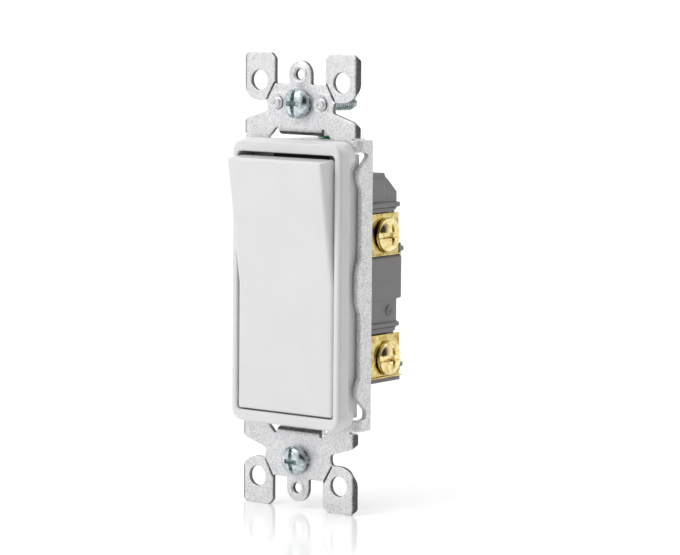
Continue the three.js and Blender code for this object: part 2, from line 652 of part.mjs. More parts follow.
/** Combination head and threaded shank along -Y (head) and +Y (point), seated at the origin. */
function screwAlongY({ headR, headH, length, slotHalf, crossR }) {
  const rings = 4;
  const profile = [new THREE.Vector2(0, length)];
  profile.push(new THREE.Vector2(SHANK_R * 0.55, length));
  profile.push(new THREE.Vector2(SHANK_R, length - SHANK_R * 1.2));
  profile.push(new THREE.Vector2(SHANK_R, 0));
  profile.push(new THREE.Vector2(headR - 0.15, 0));
  profile.push(new THREE.Vector2(headR, -0.35));
  for (let ring = 0; ring < rings; ring += 1) {
    const u = ring / rings;
    const radius = headR * Math.cos(u * Math.PI / 2) ** 0.8;
    profile.push(new THREE.Vector2(radius, -headH * (0.3 + 0.7 * Math.sin(u * Math.PI / 2))));
  }
  profile.push(new THREE.Vector2(0, -headH));
  const body = solid(new THREE.LatheGeometry(profile.reverse(), FACETS));
  const slot = box(-slotHalf, slotHalf, -headH - 1, -headH * 0.45, -headR - 1, headR + 1);
  const cross = join(
    box(-crossR, crossR, -headH - 1, -headH * 0.3, -0.45, 0.45),
    box(-0.45, 0.45, -headH - 1, -headH * 0.3, -crossR, crossR));
  return cut(body, slot, cross);
}

/** Mounting screws hang loosely in the strap's slot, so each one leans by a few degrees. */
const MOUNTING = {
  top: { z: BOX_SCREW_Z, lean: THREE.MathUtils.degToRad(1.5) },
  bottom: { z: -BOX_SCREW_Z, lean: THREE.MathUtils.degToRad(-6) },
};
const HEAD_LIFT = 0.7;

function leaned(body, { z, lean }, y) {
  const geometry = geometryOf(body);
  geometry.rotateX(-lean);
  geometry.translate(0, y, z);
  return solid(geometry);
}

function mountingScrew(place) {
  const body = screwAlongY({ headR: 3.45, headH: 2.3, length: 21.6, slotHalf: 0.5, crossR: 1.5 });
  return leaned(body, place, -SHEET - HEAD_LIFT);
}

/** Square fibre washer on the shank behind the strap. */
function screwWasher(place) {
  const square = cut(
    box(-3.6, 3.6, 0, 0.9, -3.6, 3.6),
    rod('y', SHANK_R + 0.2, -1, 2, 0, 0));
  const geometry = geometryOf(square).translate(0, SHEET + HEAD_LIFT + 1.9, 0);
  return leaned(solid(geometry), place, -SHEET - HEAD_LIFT);
}

function terminalScrew({ screwZ, faceX }) {
  const body = screwAlongY({ headR: 4.05, headH: 2.1, length: 6.4, slotHalf: 0.6, crossR: 2.1 });
  const geometry = geometryOf(body).rotateY(Math.PI / 2).rotateZ(Math.PI / 2);
  geometry.translate(faceX + GAP, TERMINAL_SCREW_Y, screwZ);
  return solid(geometry);
}

const BRACKET = {
  tabZ: 32.3, thick: 1.0, rearY: 13.0, footY: 9.0, topZ: 44.2, tabX: -5.2, legX0: 8.4, legX1: 11.6,
  wing: 8.6, wingInner: 4.6,
};
const GROUND = { x: 1.6, y: 8.9 };

/** Bent plate behind the strap: riveted flat, a leg behind the right shoulder, and a tab for its screw. */
function groundBracket() {
  const { tabZ, thick, rearY, footY, topZ, tabX, legX0, legX1 } = BRACKET;
  const flatY = GAP + thick;
  const bridgeZ = LIP.bendZ + 1.3;
  const wing = (side) => {
    const [a, b] = [side * BRACKET.wingInner, side * BRACKET.wing].sort((u, v) => u - v);
    return box(a, b, GAP, flatY, LIP.bendZ, topZ);
  };
  const bridge = box(-BRACKET.wing, legX1, GAP, flatY, LIP.bendZ, bridgeZ);
  const leg = box(legX0, legX1, GAP, flatY, tabZ, bridgeZ);
  const foot = box(legX0, legX1, GAP, footY, tabZ, tabZ + thick);
  const tab = box(tabX, legX0, LIP.rearY + GAP, rearY, tabZ, tabZ + thick);
  const holes = [
    rod('z', SHANK_R + 0.25, tabZ - 1, tabZ + 2, GROUND.x, GROUND.y),
    ...[-1, 1].map((side) => rod('y', RIVET.shankR + GAP, -1, 3, side * RIVET.x, RIVET.z, 14)),
  ];
  return cut(join(wing(-1), wing(1), bridge, leg, foot, tab), ...holes);
}

/** Ground screw, head up on the bracket's tab. */
function groundScrew() {
  const body = screwAlongY({ headR: 3.3, headH: 1.9, length: 5.2, slotHalf: 0.5, crossR: 1.5 });
  const geometry = geometryOf(body).rotateX(-Math.PI / 2);
  geometry.translate(GROUND.x, GROUND.y, BRACKET.tabZ + BRACKET.thick + GAP);
  return solid(geometry);
}

/** Tubular rivet along Y with a low domed head in front and a flat one behind. */
function groundRivet(side) {
  const front = -SHEET - GAP;
  const rear = GAP + 1.0 + GAP;
  const profile = [
    [0, front - 0.9], [0.8, front - 0.85], [1.2, front - 0.4], [1.6, front], [RIVET.shankR, front],
    [RIVET.shankR, rear], [1.9, rear], [1.9, rear + 0.5], [0, rear + 0.5],
  ].map(([r, y]) => new THREE.Vector2(r, y));
  const geometry = new THREE.LatheGeometry(profile, 14);
  geometry.translate(side * RIVET.x, 0, RIVET.z);
  return solid(geometry);
}

function bumper(zSign) {
  const z = [zSign * 27.6, zSign * 29.8].sort((a, b) => a - b);
  return box(-8, 8, -0.95, -GAP, z[0], z[1]);
}

// ---------------------------------------------------------------------------------------------------------
// Finishes and the assembly
// ---------------------------------------------------------------------------------------------------------

const FINISH = {
  zinc: { color: 0xc9cacc, roughness: 0.45, metalness: 0.9 },
  screwZinc: { color: 0xb9c2c4, roughness: 0.25, metalness: 1.0 },
  whitePlastic: { color: 0xe9e9ea, roughness: 0.3, metalness: 0.0 },
  greyPlastic: { color: 0x77757a, roughness: 0.55, metalness: 0.0 },
  brass: { color: 0xd8b25a, roughness: 0.25, metalness: 1.0 },
  green: { color: 0x3f8f5a, roughness: 0.35, metalness: 0.6 },
  silver: { color: 0xd5d5d0, roughness: 0.3, metalness: 1.0 },
  copper: { color: 0xc07a4a, roughness: 0.35, metalness: 1.0 },
  springSteel: { color: 0x9a9ca0, roughness: 0.35, metalness: 1.0 },
  blackPlastic: { color: 0x2a2a2c, roughness: 0.6, metalness: 0.0 },
  fibre: { color: 0xb45a3a, roughness: 0.9, metalness: 0.0 },
  rubber: { color: 0x3a3a3c, roughness: 0.9, metalness: 0.0 },
};

const group = new THREE.Group();

function place(name, body, finish) {
  const mesh = new THREE.Mesh(geometryOf(body), new THREE.MeshStandardMaterial(FINISH[finish]));
  mesh.name = name;
  group.add(mesh);
}

place('strap', strap(), 'zinc');
place('front_frame', frontFrame(), 'whitePlastic');
place('rocker_paddle', rockerPaddle(), 'whitePlastic');
place('rear_body', rearBody(), 'greyPlastic');
place('mechanism_cover', mechanismCover(), 'greyPlastic');

place('contact_actuator', contactActuator(), 'blackPlastic');
place('moving_contact_arm', movingContactArm(), 'copper');
const openContact = turnX(contactButton(12.1, 12.7), -ARM_TRAVEL, ARM_PIVOT.y, ARM_PIVOT.z);
place('moving_contact', openContact, 'silver');
place('fixed_contact', contactButton(12.8, 13.6), 'silver');
place('contact_spring', contactSpring(), 'springSteel');

place('line_terminal', lineTerminal(), 'brass');
place('load_terminal', loadTerminal(), 'brass');
for (const [name, terminal] of Object.entries(TERMINALS)) {
  place(`${name}_terminal_screw`, terminalScrew(terminal), 'brass');
  place(`${name}_wire_clamp`, wireClamp(terminal), 'springSteel');
}
for (const [end, spot] of Object.entries(MOUNTING)) {
  place(`mounting_screw_${end}`, mountingScrew(spot), 'screwZinc');
  place(`screw_washer_${end}`, screwWasher(spot), 'fibre');
}

place('ground_bracket', groundBracket(), 'zinc');
place('ground_screw', groundScrew(), 'green');
place('ground_rivet_left', groundRivet(-1), 'screwZinc');
place('ground_rivet_right', groundRivet(1), 'screwZinc');
place('bumper_upper', bumper(1), 'rubber');
place('bumper_lower', bumper(-1), 'rubber');

export default group;
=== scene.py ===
"""Looks of a paddle wall switch on a steel strap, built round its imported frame.

Shapes are worked out in millimetres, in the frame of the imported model: +Z up the strap, -Y out of the wall,
+X the side with the terminal screws. Every piece is stored in metres with its object at the origin.
"""

import math

import bmesh
import bpy
import numpy as np
from mathutils import Matrix, Vector
from mathutils.geometry import delaunay_2d_cdt


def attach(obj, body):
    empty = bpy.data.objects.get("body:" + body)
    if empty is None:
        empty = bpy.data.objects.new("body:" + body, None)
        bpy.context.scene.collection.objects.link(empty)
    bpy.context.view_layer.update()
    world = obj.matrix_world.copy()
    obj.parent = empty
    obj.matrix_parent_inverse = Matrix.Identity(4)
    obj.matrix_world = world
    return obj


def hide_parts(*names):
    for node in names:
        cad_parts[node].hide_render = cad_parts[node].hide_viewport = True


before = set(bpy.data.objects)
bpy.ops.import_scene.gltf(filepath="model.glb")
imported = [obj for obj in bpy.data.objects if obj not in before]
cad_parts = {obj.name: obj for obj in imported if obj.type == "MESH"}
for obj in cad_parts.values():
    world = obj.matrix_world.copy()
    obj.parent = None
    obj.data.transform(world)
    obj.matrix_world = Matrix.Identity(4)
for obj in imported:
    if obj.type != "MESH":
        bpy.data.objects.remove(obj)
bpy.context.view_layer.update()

MM = 0.001

# Strap
SHEET = 1.25
BOX_SCREW_Z = 41.67
PLATE_SCREW_Z = 48.42
STRAP_END_Z = 53.25
BEND_X = 15.0                  # the flanges start to turn back here
BEND_CENTRE_Y = 0.95
BEND_MID_R = 1.575
BEND_LENGTH = BEND_MID_R * math.pi / 2
FLANGE_REAR_Y = 4.3
WEB_END_Z = 31.0
PLATE_FROM_Z = 33.91           # from here outwards cut edges are darker as bare steel, and struck lines, holes and lip bends get painted shade
CORNER_END_Z = 33.75
LIP_HALF_X = 6.3
LIP_TOP_Z = 35.9
LIP_CENTRE_Y = 0.35
LIP_MID_R = 0.975
LIP_LENGTH = LIP_MID_R * math.pi / 2
LIP_REAR_Y = 1.6
EAR_HOLE = (12.03, 46.8, 2.4)
RIVET = (6.4, 41.7)

# Frame and paddle
FACE_Y = -6.6
OPENING = (14.2, 30.4)
SHELF_TOP = (26.1, 30.6)
SHELF_BOTTOM = (-30.6, -23.8)
TILT = math.radians(9)
PIVOT_Y = -2.0
CREASE = (-FACE_Y + PIVOT_Y) / math.cos(TILT / 2)
PADDLE_HALF = (13.85, 29.7)
PADDLE_BACK = -1.6
PADDLE_WALL = 1.6

THREAD_PITCH = 0.794
THREAD_R = 1.75


# ---------------------------------------------------------------------------------------------------------
# Surfaces
# ---------------------------------------------------------------------------------------------------------


def quads(rows, columns, round_rows=False, round_columns=False):
    """Four-sided faces between neighbours of a rows x columns grid, joined round where asked."""
    r = np.arange(rows - (not round_rows))
    c = np.arange(columns - (not round_columns))
    a, b = np.meshgrid(r, c, indexing="ij")
    a2 = (a + 1) % rows
    b2 = (b + 1) % columns
    corners = [a * columns + b, a2 * columns + b, a2 * columns + b2, a * columns + b2]
    return np.stack(corners, -1).reshape(-1, 4)


def smooth_step(value, low, high):
    """0 below low, 1 above high, and 3t^2 - 2t^3 in between."""
    t = np.clip((value - low) / (high - low), 0, 1)
    return t * t * (3 - 2 * t)


def facing_out(points, faces):
    """The faces, turned round where the volume that they enclose comes out negative.

    The volume is the sum, over the faces, of the triple product of three corners.
    """
    a, b, c = points[faces[:, 0]], points[faces[:, 1]], points[faces[:, 2]]
    volume = np.einsum("ij,ij->", a, np.cross(b, c))
    if faces.shape[1] == 4:
        d = points[faces[:, 3]]
        volume += np.einsum("ij,ij->", a, np.cross(c, d))
    return faces if volume > 0 else faces[:, ::-1]


def closed_rings(rings):
    """Rings of points carried one to the next, both ends closed with a fan to the ring's middle."""
    count, columns, _ = rings.shape
    middles = rings[[0, -1]].mean(axis=1)
    points = np.vstack([rings.reshape(-1, 3), middles])
    body = quads(count, columns, round_columns=True)
    column = np.arange(columns)
    after = (column + 1) % columns
    first = np.stack([np.full(columns, count * columns), column, after, after], -1)
    base = (count - 1) * columns
    last = np.stack([np.full(columns, count * columns + 1), base + after, base + column, base + column], -1)
    return points, facing_out(points, np.vstack([body, first, last]))


def piece(name, shells, finish, body, nodes, sharp=38):
    """One mesh object from shells of (points in mm, faces), smooth except at edges sharper than an angle."""
    mesh = bpy.data.meshes.new(name)
    points = np.vstack([p for p, _ in shells]) * MM
    faces = []
    start = 0
    for p, f in shells:
        faces.extend((f + start).tolist())
        start += len(p)
    faces = [f[:3] if len(f) == 4 and f[2] == f[3] else f for f in faces]
    mesh.from_pydata(points.tolist(), [], faces)
    joined = bmesh.new()
    joined.from_mesh(mesh)
    bmesh.ops.remove_doubles(joined, verts=joined.verts, dist=2e-7)
    bmesh.ops.dissolve_degenerate(joined, edges=joined.edges, dist=1e-8)
    joined.to_mesh(mesh)
    joined.free()
    mesh.shade_smooth()
    mesh.set_sharp_from_angle(angle=math.radians(sharp))
    made = bpy.data.objects.new(name, mesh)
    bpy.context.scene.collection.objects.link(made)
    mesh.materials.append(finish)
    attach(made, body)
    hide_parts(*nodes)
    return made


def softened(node, name, finish, body, width):
    """A copy of a frame node, its triangles merged and its flat areas made whole, with rounded edges."""
    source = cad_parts[node]
    work = bmesh.new()
    work.from_mesh(source.data)
    bmesh.ops.remove_doubles(work, verts=work.verts, dist=2e-6)
    bmesh.ops.dissolve_limit(work, angle_limit=math.radians(1), verts=work.verts, edges=work.edges)
    mesh = bpy.data.meshes.new(name)
    work.to_mesh(mesh)
    work.free()
    mesh.shade_smooth()
    made = bpy.data.objects.new(name, mesh)
    bpy.context.scene.collection.objects.link(made)
    mesh.materials.append(finish)
    bevel = made.modifiers.new("edges", "BEVEL")
    bevel.width = width * MM
    bevel.segments = 3
    bevel.limit_method = "ANGLE"
    bevel.angle_limit = math.radians(35)
    bevel.harden_normals = True
    bevel.miter_outer = "MITER_ARC"
    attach(made, body)
    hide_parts(node)
    return made


# ---------------------------------------------------------------------------------------------------------
# Finishes
# ---------------------------------------------------------------------------------------------------------


class Value:
    """A number socket that Python arithmetic turns into Math nodes."""

    def __init__(self, finish, socket):
        self.finish = finish
        self.socket = socket

    def _math(self, operation, *terms):
        return self.finish.node("ShaderNodeMath", {"operation": operation}, dict(enumerate(terms)))

    def __add__(self, other):
        return self._math("ADD", self, other)

    __radd__ = __add__

    def __mul__(self, other):
        return self._math("MULTIPLY", self, other)

    __rmul__ = __mul__

    def __sub__(self, other):
        return self._math("SUBTRACT", self, other)

    def __rsub__(self, other):
        return self._math("SUBTRACT", other, self)

    def step(self, low, high):
        """0 below low and 1 above high, smooth in between."""
        sockets = {"Value": self, "From Min": low, "From Max": high}
        return self.finish.node("ShaderNodeMapRange", {"interpolation_type": "SMOOTHSTEP"}, sockets)


class Finish:
    """One procedural material: a Principled shader and the nodes that vary it over the surface."""

    def __init__(self, name, **constants):
        self.material = bpy.data.materials.new(name)
        self.material.use_nodes = True
        self.tree = self.material.node_tree
        self.shader = self.tree.nodes["Principled BSDF"]
        for key, value in constants.items():
            self.shader.inputs[key.replace("_", " ")].default_value = value
        place = self.node("ShaderNodeTexCoord", output="Object")
        self.mm = self.node("ShaderNodeVectorMath", {"operation": "SCALE"}, {0: place, "Scale": 1 / MM})

    def node(self, kind, settings=None, sockets=None, output=0):
        """Adds a node: its settings first, then the values or links of its sockets."""
        made = self.tree.nodes.new(kind)
        for key, value in (settings or {}).items():
            if key == "stops":
                self._stops(made.color_ramp, value)
            else:
                setattr(made, key, value)
        for key, value in (sockets or {}).items():
            if isinstance(value, Value):
                self.tree.links.new(value.socket, made.inputs[key])
            else:
                made.inputs[key].default_value = value
        return Value(self, made.outputs[output])

    @staticmethod
    def _stops(ramp, stops):
        while len(ramp.elements) < len(stops):
            ramp.elements.new(0.5)
        for element, (position, colour) in zip(ramp.elements, stops):
            element.position = position
            element.color = (*colour, 1.0)

    def noise(self, scale, detail=3.0, roughness=0.55, stretch=(1, 1, 1), twist=0.0):
        """Cloudy noise with features of about 1/scale mm, stretched along the axes by the given factors."""
        at = self.node("ShaderNodeMapping", {}, {"Vector": self.mm, "Scale": stretch})
        look = {"Scale": scale, "Detail": detail, "Roughness": roughness, "Distortion": twist}
        return self.node("ShaderNodeTexNoise", {}, {"Vector": at, **look})

    def spots(self, scale):
        """Distance to the nearest of scattered points, 1/scale mm apart."""
        return self.node("ShaderNodeTexVoronoi", {}, {"Vector": self.mm, "Scale": scale})

    def grains(self, scale):
        """A random grey for each cell of scattered points, 1/scale mm apart."""
        cells = self.node("ShaderNodeTexVoronoi", {}, {"Vector": self.mm, "Scale": scale}, output="Color")
        return self.node("ShaderNodeRGBToBW", {}, {0: cells})

    def ramp(self, value, *stops):
        return self.node("ShaderNodeValToRGB", {"stops": stops}, {0: value})

    def set(self, socket, value):
        self.tree.links.new(value.socket, self.shader.inputs[socket])

    def bump(self, height, strength, distance):
        """Surface relief: distance is the height in mm that a value of 1 stands for."""
        sockets = {"Height": height, "Strength": strength, "Distance": distance * MM}
        self.set("Normal", self.node("ShaderNodeBump", {}, sockets))


def zinc_sheet():
    """Galvanised sheet: fine crystal grain, soft smears, pits and drag marks, darker cut edges, and painted
    shade.

    The end plates lie flat in Y, so a point between their two faces is on a cut edge, in a struck line, in a
    swaged hole or on the bend of a lip. Such a point is painted darker: on a cut edge for the bare steel
    where the coating is thin, and in the struck lines, the swaged holes and the lip bends as painted shade.
    """
    f = Finish("zinc_sheet", Metallic=0.85)
    crystals = f.noise(4.0, 3.0, 0.75)
    grain = f.grains(3.6)
    smears = f.noise(0.35, 3.0, 0.6)
    drag = f.noise(1.2, 3.0, 0.5, stretch=(5.0, 5.0, 0.4))
    pits = f.spots(2.2).step(0.12, 0.04)
    y = f.node("ShaderNodeSeparateXYZ", {}, {0: f.mm}, output=1)
    z = f.node("ShaderNodeSeparateXYZ", {}, {0: f.mm}, output=2)
    below_front = y.step(0.12 - SHEET, 0.35 - SHEET)
    above_rear = y.step(-0.02, -0.1)
    on_end_plate = (z * z).step(PLATE_FROM_Z**2, (PLATE_FROM_Z + 0.73) ** 2)
    # bare steel on the cut edges, painted shade in struck lines, hole walls and lip bends
    bare_edge_and_shade = below_front * above_rear * on_end_plate
    tone = 0.46 * crystals + 0.24 * grain + 0.14 * smears + 0.16 * drag - 0.3 * pits - 0.42 * bare_edge_and_shade
    bare_steel_and_shade, dark = (0.12, 0.12, 0.12), (0.40, 0.40, 0.41)
    grey, bright = (0.68, 0.68, 0.69), (0.88, 0.88, 0.89)
    f.set("Base Color", f.ramp(tone, (0.1, bare_steel_and_shade), (0.3, dark), (0.46, grey), (0.62, bright)))
    f.set("Roughness", 0.34 + 0.2 * crystals + 0.1 * drag)
    f.bump(crystals + 0.5 * grain - 1.2 * pits, 0.5, 0.06)
    return f.material


def zinc_screw():
    """Bright zinc plate with a blue-green cast, dark specks in its hollows and fine turning marks."""
    f = Finish("zinc_screw", Metallic=1.0)
    marks = f.noise(2.5, 3.0, 0.5, stretch=(1, 6, 1))
    cast = f.noise(0.9, 3.0, 0.6)
    specks = f.noise(3.2, 2.0, 0.7).step(0.62, 0.72)
    tone = cast - 0.28 * specks
    dark, cool, bright = (0.16, 0.19, 0.20), (0.42, 0.50, 0.53), (0.74, 0.78, 0.78)
    f.set("Base Color", f.ramp(tone, (0.2, dark), (0.42, cool), (0.68, bright)))
    f.set("Roughness", 0.14 + 0.16 * marks + 0.1 * specks)
    f.bump(marks, 0.3, 0.015)
    return f.material


def white_moulding():
    """Gloss white thermoplastic: a trace of flow in its tone and a very fine ripple."""
    gloss = dict(IOR=1.5, Specular_IOR_Level=0.5, Coat_Weight=0.15, Coat_Roughness=0.1)
    f = Finish("white_moulding", Metallic=0.0, **gloss)
    flow = f.noise(0.09, 2.0, 0.5)
    ripple = f.noise(1.4, 2.0, 0.5)
    f.set("Base Color", f.ramp(flow, (0.3, (0.735, 0.735, 0.745)), (0.7, (0.765, 0.765, 0.77))))
    f.set("Roughness", 0.24 + 0.04 * f.noise(0.6, 3.0, 0.6))
    f.bump(ripple, 0.12, 0.004)
    return f.material


def dull_moulding(name, dark, light):
    """Matt moulded plastic: fine spark-eroded texture and faint flow marks."""
    f = Finish(name, Metallic=0.0)
    texture = f.noise(9.0, 3.0, 0.6)
    flow = f.noise(0.25, 4.0, 0.55, twist=0.6)
    f.set("Base Color", f.ramp(0.45 * flow + 0.55 * texture, (0.25, dark), (0.75, light)))
    f.set("Roughness", 0.42 + 0.2 * flow)
    f.bump(texture, 0.6, 0.03)
    return f.material


def yellow_metal(name, roughness, shadow, body, light):
    """Bright brass: random patches of painted dark reflection and painted highlight, and a rolled grain."""
    f = Finish(name, Metallic=1.0)
    patches = f.noise(0.55, 4.0, 0.6, twist=0.8)
    grain = f.noise(3.0, 3.0, 0.5, stretch=(1, 1, 0.15))
    # the ramp runs from a painted dark reflection through the brass colour to a painted highlight, in random
    # patches
    f.set("Base Color", f.ramp(patches, (0.32, shadow), (0.5, body), (0.72, light)))
    f.set("Roughness", roughness + 0.14 * grain + 0.06 * patches)
    f.bump(grain, 0.3, 0.012)
    return f.material


def drawn_metal(name, dark, light):
    """Rolled or drawn bright metal with a lengthwise grain."""
    f = Finish(name, Metallic=1.0)
    grain = f.noise(2.4, 3.0, 0.55, stretch=(1, 1, 0.2))
    cloud = f.noise(0.5, 2.0, 0.5)
    f.set("Base Color", f.ramp(0.5 * grain + 0.5 * cloud, (0.3, dark), (0.7, light)))
    f.set("Roughness", 0.22 + 0.16 * grain)
    f.bump(grain, 0.3, 0.015)
    return f.material


def green_chromate():
    """Green dyed chromate over steel, thinner and lighter on worn spots."""
    f = Finish("green_screw", Metallic=0.85)
    worn = f.noise(1.2, 4.0, 0.6)
    deep, green, thin = (0.02, 0.20, 0.09), (0.05, 0.34, 0.17), (0.30, 0.52, 0.40)
    f.set("Base Color", f.ramp(worn, (0.35, deep), (0.6, green), (0.8, thin)))
    f.set("Roughness", 0.24 + 0.2 * worn)
    f.bump(f.noise(5.0, 2.0, 0.5), 0.3, 0.015)
    return f.material


def pressed_fibre():
    """Vulcanised fibre: dull red board with short fibres lying every way."""
    f = Finish("fibre", Metallic=0.0)
    fibres = f.noise(3.0, 5.0, 0.7, twist=2.5)
    f.set("Base Color", f.ramp(fibres, (0.3, (0.20, 0.06, 0.035)), (0.7, (0.38, 0.14, 0.08))))
    f.set("Roughness", 0.7 + 0.2 * fibres)
    f.bump(fibres, 0.6, 0.05)
    return f.material


def foam_pad():
    """Black foam: open cells as small dark pits."""
    f = Finish("soft_pad", Metallic=0.0)
    cells = f.spots(3.0).step(0.0, 0.35)
    f.set("Base Color", f.ramp(cells, (0.0, (0.012, 0.012, 0.012)), (1.0, (0.06, 0.06, 0.062))))
    f.set("Roughness", 0.95 - 0.1 * cells)
    f.bump(cells, 0.8, 0.08)
    return f.material


FINISH = {
    "zinc_sheet": zinc_sheet(),
    "zinc_screw": zinc_screw(),
    "white_moulding": white_moulding(),
    "grey_moulding": dull_moulding("grey_moulding", (0.205, 0.198, 0.20), (0.27, 0.262, 0.262)),
    "black_moulding": dull_moulding("black_moulding", (0.022, 0.022, 0.024), (0.045, 0.045, 0.048)),
    "brass": yellow_metal("brass", 0.12, (0.30, 0.19, 0.06), (0.62, 0.49, 0.18), (0.86, 0.76, 0.38)),
    "brass_screw": yellow_metal(
        "brass_screw", 0.08, (0.60, 0.42, 0.16), (0.88, 0.74, 0.36), (0.97, 0.90, 0.60)
    ),
    "copper_alloy": drawn_metal("copper_alloy", (0.52, 0.22, 0.11), (0.78, 0.42, 0.25)),
    "silver_alloy": drawn_metal("silver_alloy", (0.66, 0.65, 0.62), (0.88, 0.87, 0.84)),
    "spring_steel": drawn_metal("spring_steel", (0.36, 0.37, 0.39), (0.62, 0.63, 0.65)),
    "green_screw": green_chromate(),
    "fibre": pressed_fibre(),
    "soft_pad": foam_pad(),
}


# ---------------------------------------------------------------------------------------------------------
# Strap: one flat pattern of sheet, bent back along its sides and at the two lips
# ---------------------------------------------------------------------------------------------------------


def arc(centre, radius, start, end, count=24):
    """Points on a circle from one angle to another, in degrees."""
    angle = np.radians(np.linspace(start, end, count))
    return np.stack([centre[0] + radius * np.cos(angle), centre[1] + radius * np.sin(angle)], -1)


def curve(p0, p1, p2, count=10):
    """Quadratic curve p0(1-t)^2 + 2 p1 t(1-t) + p2 t^2."""
    t = np.linspace(0, 1, count)[:, None]
    return (1 - t) ** 2 * np.array(p0) + 2 * t * (1 - t) * np.array(p1) + t**2 * np.array(p2)


def even_loop(*parts, step=0.25, soften=2):
    """A closed line through all the parts, respaced evenly, its corners eased by averaging neighbours."""
    line = np.vstack([np.atleast_2d(np.array(part, float)) for part in parts])
    line = np.vstack([line, line[:1]])
    length = np.concatenate([[0], np.cumsum(np.hypot(*np.diff(line, axis=0).T))])
    at = np.linspace(0, length[-1], max(int(length[-1] / step), 12), endpoint=False)
    loop = np.stack([np.interp(at, length, line[:, k]) for k in (0, 1)], -1)
    for _ in range(soften):
        loop = (np.roll(loop, 1, 0) + 2 * loop + np.roll(loop, -1, 0)) / 4
    return loop


def inset(loop, distance):
    """The loop moved sideways along its normals, to the left of its direction."""
    along = np.roll(loop, -1, 0) - np.roll(loop, 1, 0)
    along /= np.linalg.norm(along, axis=1)[:, None]
    return loop + distance * np.stack([-along[:, 1], along[:, 0]], -1)


def inside(points, loops):
    """True where a point lies within an odd number of loops, by crossings of a line towards +u."""
    odd = np.zeros(len(points), bool)
    for loop in loops:
        a = loop
        b = np.roll(loop, -1, 0)
        for start in range(0, len(points), 4000):
            u, v = points[start:start + 4000, :1], points[start:start + 4000, 1:]
            spans = (a[:, 1] > v) != (b[:, 1] > v)
            with np.errstate(divide="ignore", invalid="ignore"):
                cross_u = a[:, 0] + (v - a[:, 1]) * (b[:, 0] - a[:, 0]) / (b[:, 1] - a[:, 1])
            odd[start:start + 4000] ^= (np.sum(spans & (cross_u > u), axis=1) % 2).astype(bool)
    return odd


def mirrored(line):
    """The same line on the left half, in reverse, so that a loop keeps its direction."""
    return line[::-1] * [-1, 1]


def flange_u(y):
    """Distance along the flat pattern of a point on the flange, from the middle of the strap."""
    return BEND_X + BEND_LENGTH + y - BEND_CENTRE_Y


def outer_half():
    """Right half of the outside edge, from the top tongue to the bottom one."""
    def end(sign):
        shape = np.vstack([
            arc((0, PLATE_SCREW_Z), 3.2, 90, 0),
            [[3.2, 46.1], [7.4, 46.1], [7.4, 52.05], [8.6, STRAP_END_Z], [15.5, STRAP_END_Z], [16.7, 52.05]],
            arc((12.2, 46.6), 4.5, 0, -90),
            [[10.0, 42.1], [9.6, 41.2], [9.6, 39.7], [15.6, 37.8], [16.7, 36.7], [16.7, 34.05]],
            [[BEND_X, 34.05], [BEND_X, CORNER_END_Z]],
        ])
        return shape if sign > 0 else shape[::-1] * [1, -1]
    side = np.array([[flange_u(FLANGE_REAR_Y), CORNER_END_Z], [flange_u(FLANGE_REAR_Y), -CORNER_END_Z]])
    return np.vstack([end(1), side, end(-1)])


def window_half():
    """Right half of the window's edge, from the top lip to the bottom one, wavy along the flange."""
    lip_end = LIP_TOP_Z - LIP_LENGTH - (LIP_REAR_Y - LIP_CENTRE_Y)
    corner = np.array([[0, lip_end], [LIP_HALF_X, lip_end], [LIP_HALF_X, LIP_TOP_Z], [7.1, LIP_TOP_Z],
                       [10.0, 32.8], [10.0, WEB_END_Z], [flange_u(BEND_CENTRE_Y), WEB_END_Z]])
    wave = np.vstack([
        [[2.4, 30.6], [2.4, 30.0], [-0.7, 27.1]],
        curve((-0.7, 27.1), (-1.25, 26.6), (-1.25, 25.8)),
        curve((-1.25, 25.8), (-1.25, 24.2), (0, 22.6)),
        curve((0, 6.2), (-1.25, 4.6), (-1.25, 2.6)),
        curve((-1.25, -2.4), (-1.25, -4.4), (0, -6.0)),
        curve((0, -21.4), (-1.25, -22.8), (-1.25, -24.4)),
        curve((-1.25, -24.4), (-1.25, -25.6), (-0.7, -26.1)),
        [[2.4, -28.8], [2.4, -30.6]],
    ])
    wave[:, 0] = flange_u(wave[:, 0])
    return np.vstack([corner, wave, corner[::-1] * [1, -1]])


def box_screw_slot(sign):
    """Round-ended slot for a mounting screw."""
    z = sign * BOX_SCREW_Z
    return even_loop(arc((1.0, z), 2.3, -90, 90), arc((-1.0, z), 2.3, 90, 270), soften=0)


def bend_strap(u, z, height):
    """Flat pattern to space: a point keeps its height above the middle of the sheet.

    Past the bend line the sheet follows a quarter circle and then runs straight back. Beside the window,
    where the flange stands clear of the end plates, it is flat all the way. The lips bend in the same way
    about a line along X.
    """
    side = np.sign(u)
    s = np.abs(u) - BEND_X
    angle = np.clip(s / BEND_MID_R, 0, math.pi / 2)
    past = np.where(np.abs(z) < WEB_END_Z - 0.02, s - BEND_LENGTH, np.maximum(s - BEND_LENGTH, 0))
    flat_side = (np.abs(z) < WEB_END_Z - 0.02) & (np.abs(u) > BEND_X)
    angle = np.where(flat_side, math.pi / 2, angle)
    radius = BEND_MID_R + height
    x = side * (np.minimum(np.abs(u), BEND_X) + radius * np.sin(angle))
    y = BEND_CENTRE_Y - radius * np.cos(angle) + np.where(s > 0, past, 0)
    lip = (np.abs(u) < 6.8) & (np.abs(z) < LIP_TOP_Z)
    t = LIP_TOP_Z - np.abs(z)
    turn = np.clip(t / LIP_MID_R, 0, math.pi / 2)
    lip_r = LIP_MID_R + height
    lip_y = LIP_CENTRE_Y - lip_r * np.cos(turn) + np.maximum(t - LIP_LENGTH, 0)
    lip_z = np.sign(z) * (LIP_TOP_Z - lip_r * np.sin(turn))
    return np.stack([np.where(lip, u, x), np.where(lip, lip_y, y), np.where(lip, lip_z, z)], -1)


